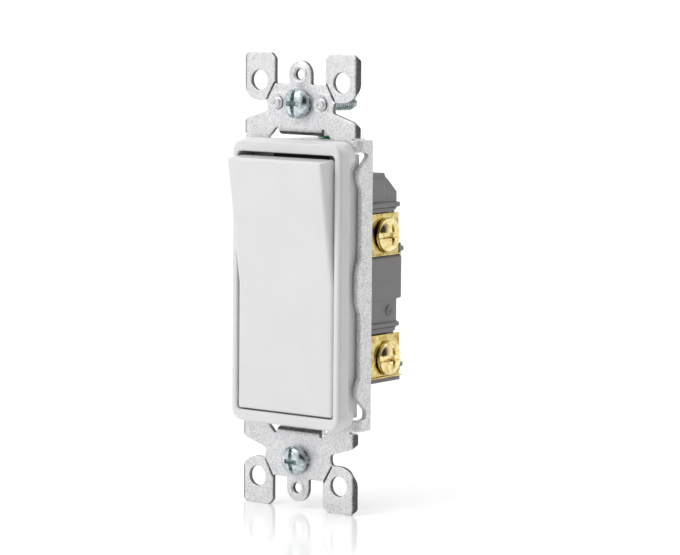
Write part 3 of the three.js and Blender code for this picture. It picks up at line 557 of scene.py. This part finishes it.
def struck_relief(u, z):
    """Height added to the front face: rings round rivets, swells at the tongue holes, break-off lines."""
    au, az = np.abs(u), np.abs(z)
    ring = np.hypot(au - RIVET[0], az - RIVET[1])
    relief = 0.2 * np.exp(-(((ring - 2.3) / 0.3) ** 2)) * (z > 0)
    swage = np.hypot(au, az - PLATE_SCREW_Z)
    relief += 0.3 * smooth_step(swage, 2.9, 2.3)
    start, end = np.array([7.5, 46.4]), np.array([10.0, 42.3])
    along = (end - start) / np.linalg.norm(end - start)
    across = (au - start[0]) * along[1] - (az - start[1]) * along[0]
    reach = (au - start[0]) * along[0] + (az - start[1]) * along[1]
    on_line = smooth_step(reach, -0.4, 0.2) * smooth_step(reach, 5.1, 4.5)
    return relief - 0.55 * np.exp(-((across / 0.2) ** 2)) * on_line


def strap_surface():
    """Front, rear and edges of the bent sheet.

    The flat pattern is filled with triangles between its loops, once for the front and once for the rear.
    The edge of each loop is a row of rings: a quarter circle over the front corner, the cut wall, and a
    quarter circle over the rear corner, each ring moved sideways by its share of the edge radius.
    """
    outer = outer_half()
    window = window_half()
    loops = [even_loop(outer, mirrored(outer)), even_loop(window, mirrored(window))]
    for sign in (-1, 1):
        loops.append(box_screw_slot(sign))
        loops.append(even_loop(arc((0, sign * PLATE_SCREW_Z), 1.45, 0, 360, 40)[:-1], soften=0))
        for side in (-1, 1):
            centre = (side * EAR_HOLE[0], sign * EAR_HOLE[1])
            loops.append(even_loop(arc(centre, EAR_HOLE[2], 0, 360, 60)[:-1], soften=0))
    for side in (-1, 1):
        loops.append(even_loop(arc((side * RIVET[0], RIVET[1]), 1.4, 0, 360, 40)[:-1], soften=0))

    edge_r = 0.2
    turned = []
    for number, loop in enumerate(loops):
        area = np.sum(loop[:, 0] * np.roll(loop[:, 1], -1) - np.roll(loop[:, 0], -1) * loop[:, 1])
        keeps_left = (area > 0) == (number == 0)
        turned.append(loop if keeps_left else loop[::-1])
    rims = [inset(loop, edge_r) for loop in turned]

    spread = []
    for step, low, high in ((0.42, 30.0, 54.0), (1.1, 0.0, 30.0)):
        u, z = np.meshgrid(np.arange(-22, 22, step), np.arange(-54, 54, step * 0.87))
        u[1::2] += step / 2
        keep = (np.abs(z) >= low) & (np.abs(z) < high)
        spread.append(np.stack([u[keep], z[keep]], -1))
    spread = np.vstack(spread)
    spread = spread[inside(spread, rims)]
    border = np.vstack(rims)
    clear = np.ones(len(spread), bool)
    for start in range(0, len(spread), 2000):
        part = spread[start:start + 2000]
        gap = np.hypot(part[:, :1] - border[:, 0], part[:, 1:] - border[:, 1]).min(axis=1)
        clear[start:start + 2000] = gap > 0.16
    flat = np.vstack([border, spread[clear]])
    edges = []
    start = 0
    for rim in rims:
        index = np.arange(len(rim)) + start
        edges.extend(zip(index.tolist(), np.roll(index, -1).tolist()))
        start += len(rim)
    found = delaunay_2d_cdt([Vector(p) for p in flat.tolist()], edges, [], 0, 1e-6, False)
    points = np.array([tuple(p) for p in found[0]])
    triangles = np.array(found[2])
    triangles = triangles[inside(points[triangles].mean(axis=1), rims)]

    half = SHEET / 2
    u, z = points[:, 0], points[:, 1]
    front = bend_strap(u, z, half + struck_relief(u, z))
    rear = bend_strap(u, z, np.full(len(u), -half))
    padded = np.hstack([triangles, triangles[:, 2:]])
    up = padded[:, [0, 2, 1, 1]]
    shells = [(front, padded), (rear, up)]
    quarter = np.radians([0, 22.5, 45, 67.5, 90])
    insets = np.concatenate([edge_r * (1 - np.sin(quarter)), edge_r * (1 - np.cos(quarter[1:]))])
    over_front = half - edge_r * (1 - np.cos(quarter))
    over_rear = -half + edge_r * (1 - np.sin(quarter[1:]))
    heights = np.concatenate([over_front, over_rear])
    for loop in turned:
        rows = []
        for move, height in zip(insets, heights):
            line = inset(loop, move)
            lift = struck_relief(line[:, 0], line[:, 1]) * (height > 0)
            rows.append(bend_strap(line[:, 0], line[:, 1], height + lift))
        rows = np.stack(rows)
        shells.append((rows.reshape(-1, 3), quads(len(rows), rows.shape[1], round_columns=True)))
    return shells


piece("steel_strap", strap_surface(), FINISH["zinc_sheet"], "housing", ["strap"])


def tongue_collar(sign):
    """Swaged collar round a tongue's screw hole: a low rounded ring outside, and a small thread inside.

    Its section is carried round the hole. The inner radius goes in and out by the thread's depth, once for
    each pitch of a 6-32 thread, along the thickness of the sheet.
    """
    y = np.linspace(-SHEET - 0.4, -0.05, 25)
    inner = 1.36 - 0.14 * np.cos(2 * math.pi * (y + SHEET) / 0.794)
    t = np.radians(np.linspace(0, 90, 6))
    outer = np.column_stack([1.75 + 0.5 * np.cos(t), -SHEET - 0.3 - 0.22 * np.sin(t)])
    section = np.vstack([np.column_stack([inner, y]), [[2.25, -0.05]], outer, [[inner[0], y[0]]]])
    angle = np.linspace(0, 2 * math.pi, 48, endpoint=False)
    rings = np.stack([
        section[:, :1] * np.cos(angle),
        np.broadcast_to(section[:, 1:], (len(section), len(angle))),
        section[:, :1] * np.sin(angle) + sign * PLATE_SCREW_Z,
    ], -1)
    points = rings.reshape(-1, 3)
    return points, facing_out(points, quads(*rings.shape[:2], round_columns=True))


for sign, word in ((1, "top"), (-1, "bottom")):
    piece(f"tongue_collar_{word}", [tongue_collar(sign)], FINISH["zinc_sheet"], "housing", [])


# ---------------------------------------------------------------------------------------------------------
# Front frame: a bezel section carried round the opening, with its shelves and snap legs behind
# ---------------------------------------------------------------------------------------------------------


def ring_path(half_x, half_z, radius, moved=0.0):
    """A rounded rectangle as one ring in (x, z): each side and corner always has the same count of points."""
    sides = []
    for turn, (sx, sz, count) in enumerate(((1, 1, 20), (-1, 1, 90), (-1, -1, 20), (1, -1, 90))):
        centre = np.array([sx * (half_x - radius), sz * (half_z - radius)])
        angle = np.radians(np.linspace(90 * turn, 90 * turn + 90, 9))
        corner = centre + (radius + moved) * np.stack([np.cos(angle), np.sin(angle)], -1)
        sides.append((corner, count))
    ring = []
    for k, (corner, count) in enumerate(sides):
        following = sides[(k + 1) % 4][0][0]
        t = np.linspace(0, 1, count + 2)[1:-1, None]
        ring.append(corner)
        ring.append(corner[-1] * (1 - t) + following * t)
    return np.vstack(ring)


def bezel_surface():
    """The frame's section from the inside of the opening, over the face, down the flared side and back.

    Each row is a rounded rectangle at one depth. Behind the flare the long sides draw in, by an amount
    that fades towards the corners, and two round pockets are sunk in the inner walls for the trunnions.
    """
    opening = (*OPENING, 1.0)
    face = (15.7, 33.0, 2.7)
    flare = (15.75, 32.75, 2.75)
    tub = (15.4, 30.65, 0.6)
    inner_r, outer_r = 0.4, 0.55
    quarter = np.radians([0, 22.5, 45, 67.5, 90])
    rows = [(opening, 0.0, y) for y in np.linspace(1.5, -6.15, 26)]
    for q in quarter[1:]:
        rows.append((opening, inner_r * (1 - math.cos(q)), FACE_Y + inner_r * (1 - math.sin(q))))
    for q in quarter:
        rows.append((face, outer_r * (math.sin(q) - 1), FACE_Y + outer_r * (1 - math.cos(q))))
    rows += [(face, 0.0, -5.86), (face, -0.14, -5.8), (face, -0.16, -5.72)]
    rows += [(flare, -0.06, -5.66), (flare, 0.0, -5.6)]
    rows += [(flare, 0.7 * t, -5.6 + 1.6 * t) for t in np.linspace(0.2, 1, 6)]
    rows += [(flare, 0.74, -3.85), (flare, 0.75, -3.7)]
    rows += [(flare, 0.75, y) for y in (-3.4, -3.1, -2.8, -2.5, -2.2, -1.9)]
    rows += [(flare, 0.75, -1.6), (flare, 0.68, -1.55), (tub, 0.0, -1.55), (tub, 0.0, 1.3), (tub, -0.2, 1.5)]
    grid = []
    for shape, moved, y in rows:
        path = ring_path(*shape, moved)
        grid.append(np.column_stack([path[:, 0], np.full(len(path), y), path[:, 1]]))
    grid = np.stack(grid)
    x, y, z = grid[..., 0], grid[..., 1], grid[..., 2]
    neck = smooth_step(np.abs(z), 29.8, 27.2) * smooth_step(y, -3.75, -2.0) * (np.abs(x) > 16.0)
    scallop = 0.35 * (np.exp(-(((np.abs(z) - 25.4) / 1.8) ** 2)) + np.exp(-((z / 4.2) ** 4)))
    early = smooth_step(y, -3.9, -3.0) * (np.abs(x) > 16.0) * scallop * smooth_step(np.abs(z), 30, 27)
    x -= np.sign(x) * np.minimum(neck * 1.05 + early, 1.05)
    pocket = smooth_step(np.hypot(y - PIVOT_Y, z), 1.5, 1.25) * (np.abs(x) < 14.3)
    x += np.sign(x) * 0.85 * pocket
    points = grid.reshape(-1, 3)
    return points, facing_out(points, quads(*grid.shape[:2], round_rows=True, round_columns=True))


def block(low, high, radius=0.25):
    """A box with rounded edges: each point of a fine cage is pulled in to its rounded corner."""
    low, high = np.array(low, float), np.array(high, float)
    middle, half = (low + high) / 2, (high - low) / 2
    share = np.concatenate([[-1, -0.97, -0.9, -0.75], np.linspace(-0.5, 0.5, 5), [0.75, 0.9, 0.97, 1]])
    a, b = np.meshgrid(share, share, indexing="ij")
    shells = []
    for axis in range(3):
        for side in (-1, 1):
            cage = np.empty((*a.shape, 3))
            cage[..., axis] = side
            cage[..., (axis + 1) % 3] = a * side
            cage[..., (axis + 2) % 3] = b
            core = half - radius
            at = cage * half
            nearest = np.clip(at, -core, core)
            away = at - nearest
            size = np.maximum(np.linalg.norm(away, axis=-1, keepdims=True), 1e-9)
            at = nearest + away / size * radius
            points = (at + middle).reshape(-1, 3)
            shells.append((points, quads(*a.shape)))
    return shells


def turned_out(shells):
    """Shells that together close one body, with every face pointing out of it."""
    points = np.vstack([p for p, _ in shells])
    starts = np.cumsum([0] + [len(p) for p, _ in shells[:-1]])
    faces = np.vstack([f + start for (_, f), start in zip(shells, starts)])
    return points, facing_out(points, faces)


def prism(section, x0, x1):
    """A section in (y, z) carried straight along X and closed with a fan at each end."""
    section = np.array(section, float)
    rows = [np.column_stack([np.full(len(section), x), section]) for x in (x0, x1)]
    return closed_rings(np.stack(rows))


def snap_legs():
    """Four flat legs with a barb at the end, which hold the frame on the housing."""
    shells = []
    for x in (-9.0, 9.0):
        for near, way in ((SHELF_TOP[0], 1), (SHELF_BOTTOM[1], -1)):
            section = [(0.3, near + way * 1.1), (0.3, near), (5.0, near), (5.0, near - way * 0.8),
                       (6.4, near), (6.4, near + way * 1.1)]
            shells.append(prism(section, x - 1.6, x + 1.6))
    return shells


front_shells = [bezel_surface(), *snap_legs()]
for shelf_low, shelf_high in (SHELF_TOP, SHELF_BOTTOM):
    front_shells.append(turned_out(block((-15.2, 0.0, shelf_low), (15.2, 1.5, shelf_high))))
piece("frame_moulding", front_shells, FINISH["white_moulding"], "housing", ["front_frame"])


# ---------------------------------------------------------------------------------------------------------
# Paddle
# ---------------------------------------------------------------------------------------------------------


def shell_cap(half_x, half_z, face_y, fillet, corner, back):
    """A hollow-backed cap: a two-plane face with rolled edges and straight skirts.

    The face lies at face_y - tan(half the tilt) * |z|, with the crease eased over half a millimetre. A point
    nearer to the edge than the fillet drops back on a quarter circle, and the plan has round corners.
    """
    edge = fillet * (1 - np.cos(np.linspace(0, math.pi / 2, 9)))[:-1]
    flat = np.linspace(-half_x + fillet, half_x - fillet, 15)
    xs = np.concatenate([-half_x + edge, flat, (half_x - edge)[::-1]])
    crease = np.linspace(-2, 2, 13)
    rest = np.linspace(2.6, half_z - fillet, 16)
    zs = np.concatenate([-half_z + edge, -rest[::-1], crease, rest, (half_z - edge)[::-1]])
    a, z = np.meshgrid(xs / half_x, zs, indexing="ij")
    into_corner = np.clip(np.abs(z) - (half_z - corner), 0, corner)
    width = half_x - corner + np.sqrt(np.maximum(corner**2 - into_corner**2, 0))
    x = a * width
    gap = np.minimum(width - np.abs(x), half_z - np.abs(z))
    gap = np.minimum(gap, fillet)
    drop = fillet - np.sqrt(np.maximum(fillet**2 - (fillet - gap) ** 2, 0))
    ease = 0.5
    face = face_y - math.tan(TILT / 2) * (np.sqrt(z**2 + ease**2) - ease)
    grid = np.stack([x, face + drop, z], -1)
    n, m = a.shape
    index = np.arange(n * m).reshape(n, m)
    loop = np.concatenate([index[:-1, 0], index[-1, :-1], index[:0:-1, -1], index[0, :0:-1]])
    border = grid.reshape(-1, 3)[loop]
    skirt = []
    for share in np.linspace(0, 1, 6):
        ring = border.copy()
        ring[:, 1] = border[:, 1] * (1 - share) + back * share
        skirt.append(ring)
    return grid, np.stack(skirt)


def paddle_surface():
    """The white cap, level: its face, its inner skin, their skirts, and the rim between the skirts."""
    half_x, half_z = PADDLE_HALF
    wall = PADDLE_WALL
    outer, outer_skirt = shell_cap(half_x, half_z, -CREASE, 0.9, 0.9, PADDLE_BACK)
    inner, inner_skirt = shell_cap(half_x - wall, half_z - wall, wall - CREASE, 0.3, 0.3, PADDLE_BACK)
    parts = []
    for grid in (outer, inner):
        parts.append((grid.reshape(-1, 3), quads(*grid.shape[:2])))
    for skirt in (outer_skirt, inner_skirt):
        parts.append((skirt.reshape(-1, 3), quads(*skirt.shape[:2], round_columns=True)))
    rim = np.stack([outer_skirt[-1], inner_skirt[-1]])
    parts.append((rim.reshape(-1, 3), quads(*rim.shape[:2], round_columns=True)))
    return parts


def rotated(points, angle, centre_y):
    """Points turned about the X direction through (centre_y, 0); a positive angle carries +Z towards -Y."""
    y, z = points[:, 1] - centre_y, points[:, 2]
    c, s = math.cos(angle), math.sin(angle)
    return np.column_stack([points[:, 0], centre_y + c * y - s * z, s * y + c * z])


def lathe(profile, facets=64, centre=(0, 0, 0), axis="y"):
    """A profile of (radius, distance along the axis) carried round the axis, closed at both ends."""
    profile = np.array(profile, float)
    angle = np.linspace(0, 2 * math.pi, facets, endpoint=False)
    p = profile[:, :1] * np.cos(angle)
    q = profile[:, :1] * np.sin(angle)
    along = np.broadcast_to(profile[:, 1:], p.shape)
    order = {"x": (along, p, q), "y": (p, along, q), "z": (p, q, along)}[axis]
    return closed_rings(np.stack(order, -1) + np.array(centre, float))


def rounded_pin(radius, start, end, edge=0.15):
    """Profile of a plain pin with eased ends."""
    return [(0.01, start), (radius - edge, start), (radius, start + edge), (radius, end - edge),
            (radius - edge, end), (0.01, end)]


TRUNNION = dict(radius=1.2, ends=(12.4, 14.7), boss=(12.2, 13.7))
LEG_HALF_X = 3.0
LEG_END_Y = 6.0

paddle_shells = paddle_surface()
for side in (-1, 1):
    ends = sorted(side * x for x in TRUNNION["ends"])
    paddle_shells.append(lathe(rounded_pin(TRUNNION["radius"], *ends), 32, axis="x"))
    boss = sorted(side * x for x in TRUNNION["boss"])
    paddle_shells.append(turned_out(block((boss[0], -2.1, -1.8), (boss[1], 0.6, 1.8))))
paddle_shells.append(turned_out(block((-LEG_HALF_X, 1.0 - CREASE, -1.1), (LEG_HALF_X, LEG_END_Y, 1.1))))
paddle_shells.append(lathe(rounded_pin(1.1, -LEG_HALF_X, LEG_HALF_X), 32, (0, LEG_END_Y, 0), "x"))
placed = [(rotated(p + [0, PIVOT_Y, 0], TILT / 2, PIVOT_Y), f) for p, f in paddle_shells]
paddle = piece(
    "paddle_moulding", placed, FINISH["white_moulding"], "paddle", ["rocker_paddle"], 45
)
fixed = bmesh.new()
fixed.from_mesh(paddle.data)
bmesh.ops.recalc_face_normals(fixed, faces=fixed.faces)
fixed.to_mesh(paddle.data)
fixed.free()


# ---------------------------------------------------------------------------------------------------------
# Screws, rivets and small turned pieces
# ---------------------------------------------------------------------------------------------------------


def screw_head(radius, height, slot_half, cross_r, facets=160):
    """Domed head with a slot and a tapering cross recess, seated at y = 0 and facing -Y.

    The dome is height * (0.3 + 0.7 * sqrt(1 - (r/R)^2.4)). Where the recess mask is 1 the surface lies on the
    recess floor instead, if that is deeper. The cross floor rises from its middle to its ends.
    """
    r = radius * (1 - (1 - np.linspace(0.002, 1, 56)) ** 1.15)
    dome = -height * (0.3 + 0.7 * np.sqrt(np.maximum(1 - (r / radius) ** 2.4, 0)))
    angle = np.linspace(0, 2 * math.pi, facets, endpoint=False)
    x, z = r[:, None] * np.cos(angle), r[:, None] * np.sin(angle)
    y = np.broadcast_to(dome[:, None], x.shape).copy()
    soft = 0.07
    slot = smooth_step(np.abs(x), slot_half + soft, slot_half - soft)
    y += slot * np.maximum(-height * 0.38 - y, 0)
    arm_half = 0.46
    for along, across in ((np.abs(z), np.abs(x)), (np.abs(x), np.abs(z))):
        cross_floor = height * (0.1 - 0.8 * np.clip(along / cross_r, 0, 1) ** 1.4)
        arm = smooth_step(across, arm_half + soft, arm_half - soft)
        arm *= smooth_step(along, cross_r + soft, cross_r - soft)
        y += arm * np.maximum(cross_floor - y, 0)
    rings = [np.stack([x, y, z], -1)]
    for size, depth in ((1.0, -0.25), (0.985, -0.08), (0.95, 0.0), (0.3, 0.0)):
        edge = radius * size
        rings.append(np.stack([edge * np.cos(angle), np.full(facets, depth), edge * np.sin(angle)], -1)[None])
    return closed_rings(np.vstack(rings))


def threaded_shank(length, facets=40):
    """Rolled thread: the radius falls by half a millimetre on a wave that climbs one pitch in each turn.

    It fades in below the head and out at the blunt point, where the radius draws in to 0.6 of the shank.
    """
    y = np.linspace(-0.3, length, int((length + 0.3) / THREAD_PITCH * 10))[:, None]
    angle = np.linspace(0, 2 * math.pi, facets, endpoint=False)[None]
    wave = 0.5 - 0.5 * np.cos(2 * math.pi * y / THREAD_PITCH + angle)
    depth = 0.5 * wave**1.2 * smooth_step(y, 0.4, 1.0)
    point = smooth_step(y, length - 2.0, length)
    r = (THREAD_R - depth) * (1 - 0.4 * point)
    rings = np.stack([r * np.cos(angle), np.broadcast_to(y, r.shape), r * np.sin(angle)], -1)
    return closed_rings(rings)


def screw(name, node, body, finish, seat, direction, spin, radius, height, slot_half, cross_r, length):
    """A whole screw, turned so that its point looks along direction and its head sits at seat."""
    toward = Vector(direction).normalized()
    turn = Vector((0, 1, 0)).rotation_difference(toward).to_matrix() @ Matrix.Rotation(spin, 3, "Y")
    turn = np.array(turn)
    shells = []
    for points, faces in (screw_head(radius, height, slot_half, cross_r), threaded_shank(length)):
        shells.append((points @ turn.T + np.array(seat), faces))
    piece(name, shells, FINISH[finish], body, [node], 50)


MOUNTING_HEAD = dict(radius=3.45, height=2.3, slot_half=0.36, cross_r=1.75, length=21.5)
TERMINAL_HEAD = dict(radius=4.05, height=2.1, slot_half=0.6, cross_r=2.4, length=6.4)
GROUND_HEAD = dict(radius=3.3, height=1.9, slot_half=0.5, cross_r=1.6, length=5.2)
SEAT_Y = -SHEET - 0.7
LINE_SEAT = (15.2, 12.4, 11.2)
LOAD_SEAT = (15.8, 12.4, -17.6)
GROUND_SEAT = (1.6, 8.9, 33.6)
LEANS = {"top": (BOX_SCREW_Z, math.radians(1.5)), "bottom": (-BOX_SCREW_Z, math.radians(-6))}
for end, (height_z, lean) in LEANS.items():
    into = (0, math.cos(lean), -math.sin(lean))
    screw(f"{end}_box_screw", f"mounting_screw_{end}", f"{end}_mounting_screw", "zinc_screw",
          (0, SEAT_Y, height_z), into, 0.0, **MOUNTING_HEAD)
screw("line_side_screw", "line_terminal_screw", "line_screw", "brass_screw",
      LINE_SEAT, (-1, 0, 0), math.pi / 2, **TERMINAL_HEAD)
screw("load_side_screw", "load_terminal_screw", "load_screw", "brass_screw",
      LOAD_SEAT, (-1, 0, 0), math.pi / 2, **TERMINAL_HEAD)
screw("green_earth_screw", "ground_screw", "green_screw", "green_screw",
      GROUND_SEAT, (0, 0, -1), 0.0, **GROUND_HEAD)

RIVET_HEAD = [(0.01, -2.0), (0.4, -2.02), (0.55, -2.2), (0.7, -2.3), (0.95, -2.28), (1.12, -2.1),
              (1.15, -1.7), (1.3, -1.6), (1.45, -1.5)]
RIVET_TAIL = [(1.1, -1.5), (1.1, 1.6), (1.8, 1.6), (1.9, 1.7), (1.9, 2.0), (1.75, 2.1), (0.01, 2.1)]
for side, word in ((-1, "left"), (1, "right")):
    shell = lathe(RIVET_HEAD + RIVET_TAIL, 48, (side * RIVET[0], 0, RIVET[1]))
    node = f"ground_rivet_{word}"
    piece(f"bracket_rivet_{word}", [shell], FINISH["zinc_sheet"], "housing", [node])


def spring_surface():
    """Round wire on a helix about Y: wire circles set square to the line, closed at both ends."""
    turns, start, end, centre_z, mean_r, wire_r = 4, 12.3, 16.1, -4.0, 1.7, 0.25
    t = np.linspace(0, 1, 200)[:, None]
    phase = t * turns * 2 * math.pi
    along = start + (end - start) * t
    middle = np.concatenate([mean_r * np.cos(phase), along, centre_z + mean_r * np.sin(phase)], 1)
    radial = np.concatenate([np.cos(phase), 0 * t, np.sin(phase)], 1)
    tangent = np.gradient(middle, axis=0)
    tangent /= np.linalg.norm(tangent, axis=1)[:, None]
    other = np.cross(tangent, radial)
    angle = np.linspace(0, 2 * math.pi, 12, endpoint=False)[None, :, None]
    rings = middle[:, None] + wire_r * (np.cos(angle) * radial[:, None] + np.sin(angle) * other[:, None])
    return closed_rings(rings)


coil = [spring_surface()]
piece("coil_spring", coil, FINISH["spring_steel"], "housing", ["contact_spring"])


# ---------------------------------------------------------------------------------------------------------
# Pieces whose frame shape is right: rounded edges and a finish
# ---------------------------------------------------------------------------------------------------------

SOFTENED = (
    ("rear_body", "housing_moulding", "housing", "grey_moulding", 0.22),
    ("mechanism_cover", "cover_plate_inner", "housing", "grey_moulding", 0.15),
    ("contact_actuator", "actuator_lever", "actuator", "black_moulding", 0.12),
    ("moving_contact_arm", "contact_blade", "contact_arm", "copper_alloy", 0.08),
    ("moving_contact", "blade_contact", "contact_arm", "silver_alloy", 0.1),
    ("fixed_contact", "terminal_contact", "housing", "silver_alloy", 0.1),
    ("line_terminal", "line_plate", "housing", "brass", 0.1),
    ("load_terminal", "load_plate", "housing", "brass", 0.1),
    ("line_wire_clamp", "line_clamp", "housing", "spring_steel", 0.06),
    ("load_wire_clamp", "load_clamp", "housing", "spring_steel", 0.06),
    ("screw_washer_top", "fibre_washer_top", "housing", "fibre", 0.12),
    ("screw_washer_bottom", "fibre_washer_bottom", "housing", "fibre", 0.12),
    ("ground_bracket", "earth_bracket", "housing", "zinc_sheet", 0.18),
    ("bumper_upper", "foam_upper", "housing", "soft_pad", 0.2),
    ("bumper_lower", "foam_lower", "housing", "soft_pad", 0.2),
)
for node_name, piece_name, body_name, finish_name, width in SOFTENED:
    softened(node_name, piece_name, FINISH[finish_name], body_name, width)


HOUSING_SIDE_X = 15.2
LEDGE_FRONT_Y = 4.6


def sill(z_low, z_high, rear, stand, radius=0.16):
    """A rounded bar along Y on the housing's terminal side, which stands proud of the wall."""
    low = (HOUSING_SIDE_X - 0.6, LEDGE_FRONT_Y, z_low)
    return turned_out(block(low, (HOUSING_SIDE_X + stand, rear, z_high), radius))


def housing_relief():
    """Ledges, two raised panels and a dished boss on the terminal side of the housing."""
    shells = [
        sill(17.6, 18.7, 17.1, 0.5),
        sill(16.9, 17.5, 15.9, 0.2),
        sill(-10.5, -9.5, 17.2, 0.5),
        sill(-11.6, -10.6, 16.0, 0.2),
        sill(-3.9, 5.9, 18.15, 0.3, 0.18),
        sill(19.0, 24.4, 11.6, 0.22, 0.3),
    ]
    dish = [(0.01, 0.12), (0.5, 0.15), (0.8, 0.4), (1.0, 0.45), (1.15, 0.3), (1.2, 0.0), (1.2, -0.5),
            (0.01, -0.5)]
    shells.append(lathe(dish, 40, (HOUSING_SIDE_X, 13.6, -6.6), "x"))
    return shells


piece("housing_ledges", housing_relief(), FINISH["grey_moulding"], "housing", [])


# ---------------------------------------------------------------------------------------------------------
# Floor, light and camera
# ---------------------------------------------------------------------------------------------------------


FLOOR_HALF = 30.0              # metres
LIGHTS = (                     # name, place and size across in metres, power in watts
    ("key", (-0.25, -0.75, 0.75), 0.5, 3.0),
    ("top", (-0.1, 0.1, 0.9), 0.6, 0.8),
)
DARK_TOWARD = (0.906, -0.423, 0.0)
DARK_FALL = (("From Min", 0.4), ("From Max", 0.8), ("To Min", 1.04), ("To Max", 0.03))
YAW, PITCH, ROLL = 37.096, 6.097, 0.441
CAMERA_AWAY = 725.314          # mm from the origin, then to the right and up
CAMERA_RIGHT = 8.888
CAMERA_UP = 1.086
LENS = 164.69


def studio():
    """A pale glossy floor under the strap's bottom ears, soft lights and a white surround."""
    half = FLOOR_HALF
    floor_z = -STRAP_END_Z * MM
    mesh = bpy.data.meshes.new("floor")
    corners = [(-half, -half, floor_z), (half, -half, floor_z), (half, half, floor_z), (-half, half, floor_z)]
    mesh.from_pydata(corners, [], [(0, 1, 2, 3)])
    floor = bpy.data.objects.new("floor", mesh)
    bpy.context.scene.collection.objects.link(floor)
    paint = Finish("floor_paint", Base_Color=(0.9, 0.9, 0.9, 1), Emission_Color=(1, 1, 1, 1))
    paint.shader.inputs["Emission Strength"].default_value = 0.12
    paint.shader.inputs["Specular IOR Level"].default_value = 0.25
    paint.set("Roughness", 0.1 + 0.05 * paint.noise(0.01, 2.0))
    mesh.materials.append(paint.material)
    surround()
    for name, place, size, power in LIGHTS:
        lamp = bpy.data.lights.new(name, "AREA")
        lamp.shape = "DISK"
        lamp.size = size
        lamp.energy = power
        holder = bpy.data.objects.new(name, lamp)
        holder.location = place
        holder.rotation_euler = (-Vector(place)).to_track_quat("-Z", "Y").to_euler()
        bpy.context.scene.collection.objects.link(holder)


def surround():
    """White all round, falling to near black in front on the right, so that side faces read darker."""
    world = bpy.data.worlds.new("surround")
    world.use_nodes = True
    tree = world.node_tree
    sky = tree.nodes["Background"]
    way = tree.nodes.new("ShaderNodeTexCoord")
    toward = tree.nodes.new("ShaderNodeVectorMath")
    toward.operation = "DOT_PRODUCT"
    toward.inputs[1].default_value = Vector(DARK_TOWARD).normalized()
    level = tree.nodes.new("ShaderNodeMapRange")
    level.interpolation_type = "SMOOTHSTEP"
    for key, value in DARK_FALL:
        level.inputs[key].default_value = value
    tree.links.new(way.outputs["Generated"], toward.inputs[0])
    tree.links.new(toward.outputs["Value"], level.inputs["Value"])
    tree.links.new(level.outputs["Result"], sky.inputs["Strength"])
    sky.inputs["Color"].default_value = (1, 1, 1, 1)
    bpy.context.scene.world = world


def viewpoint():
    """A long lens, seen from the right of the front and slightly above."""
    yaw, pitch, roll = np.radians((YAW, PITCH, ROLL)).tolist()
    back = Vector((math.sin(yaw) * math.cos(pitch), -math.cos(yaw) * math.cos(pitch), math.sin(pitch)))
    right = (-back).cross(Vector((0, 0, 1))).normalized()
    up = right.cross(-back)
    right, up = (math.cos(roll) * right + math.sin(roll) * up, math.cos(roll) * up - math.sin(roll) * right)
    place = (back * CAMERA_AWAY + right * CAMERA_RIGHT + up * CAMERA_UP) * MM
    data = bpy.data.cameras.new("camera")
    data.lens = LENS
    data.sensor_width = 36.0
    data.clip_start = 0.01
    data.clip_end = 20.0
    camera = bpy.data.objects.new("camera", data)
    bpy.context.scene.collection.objects.link(camera)
    turn = Matrix((right, up, back)).transposed()
    camera.matrix_world = Matrix.Translation(place) @ turn.to_4x4()
    bpy.context.scene.camera = camera


studio()
viewpoint()
bpy.context.scene.view_settings.view_transform = "Standard"
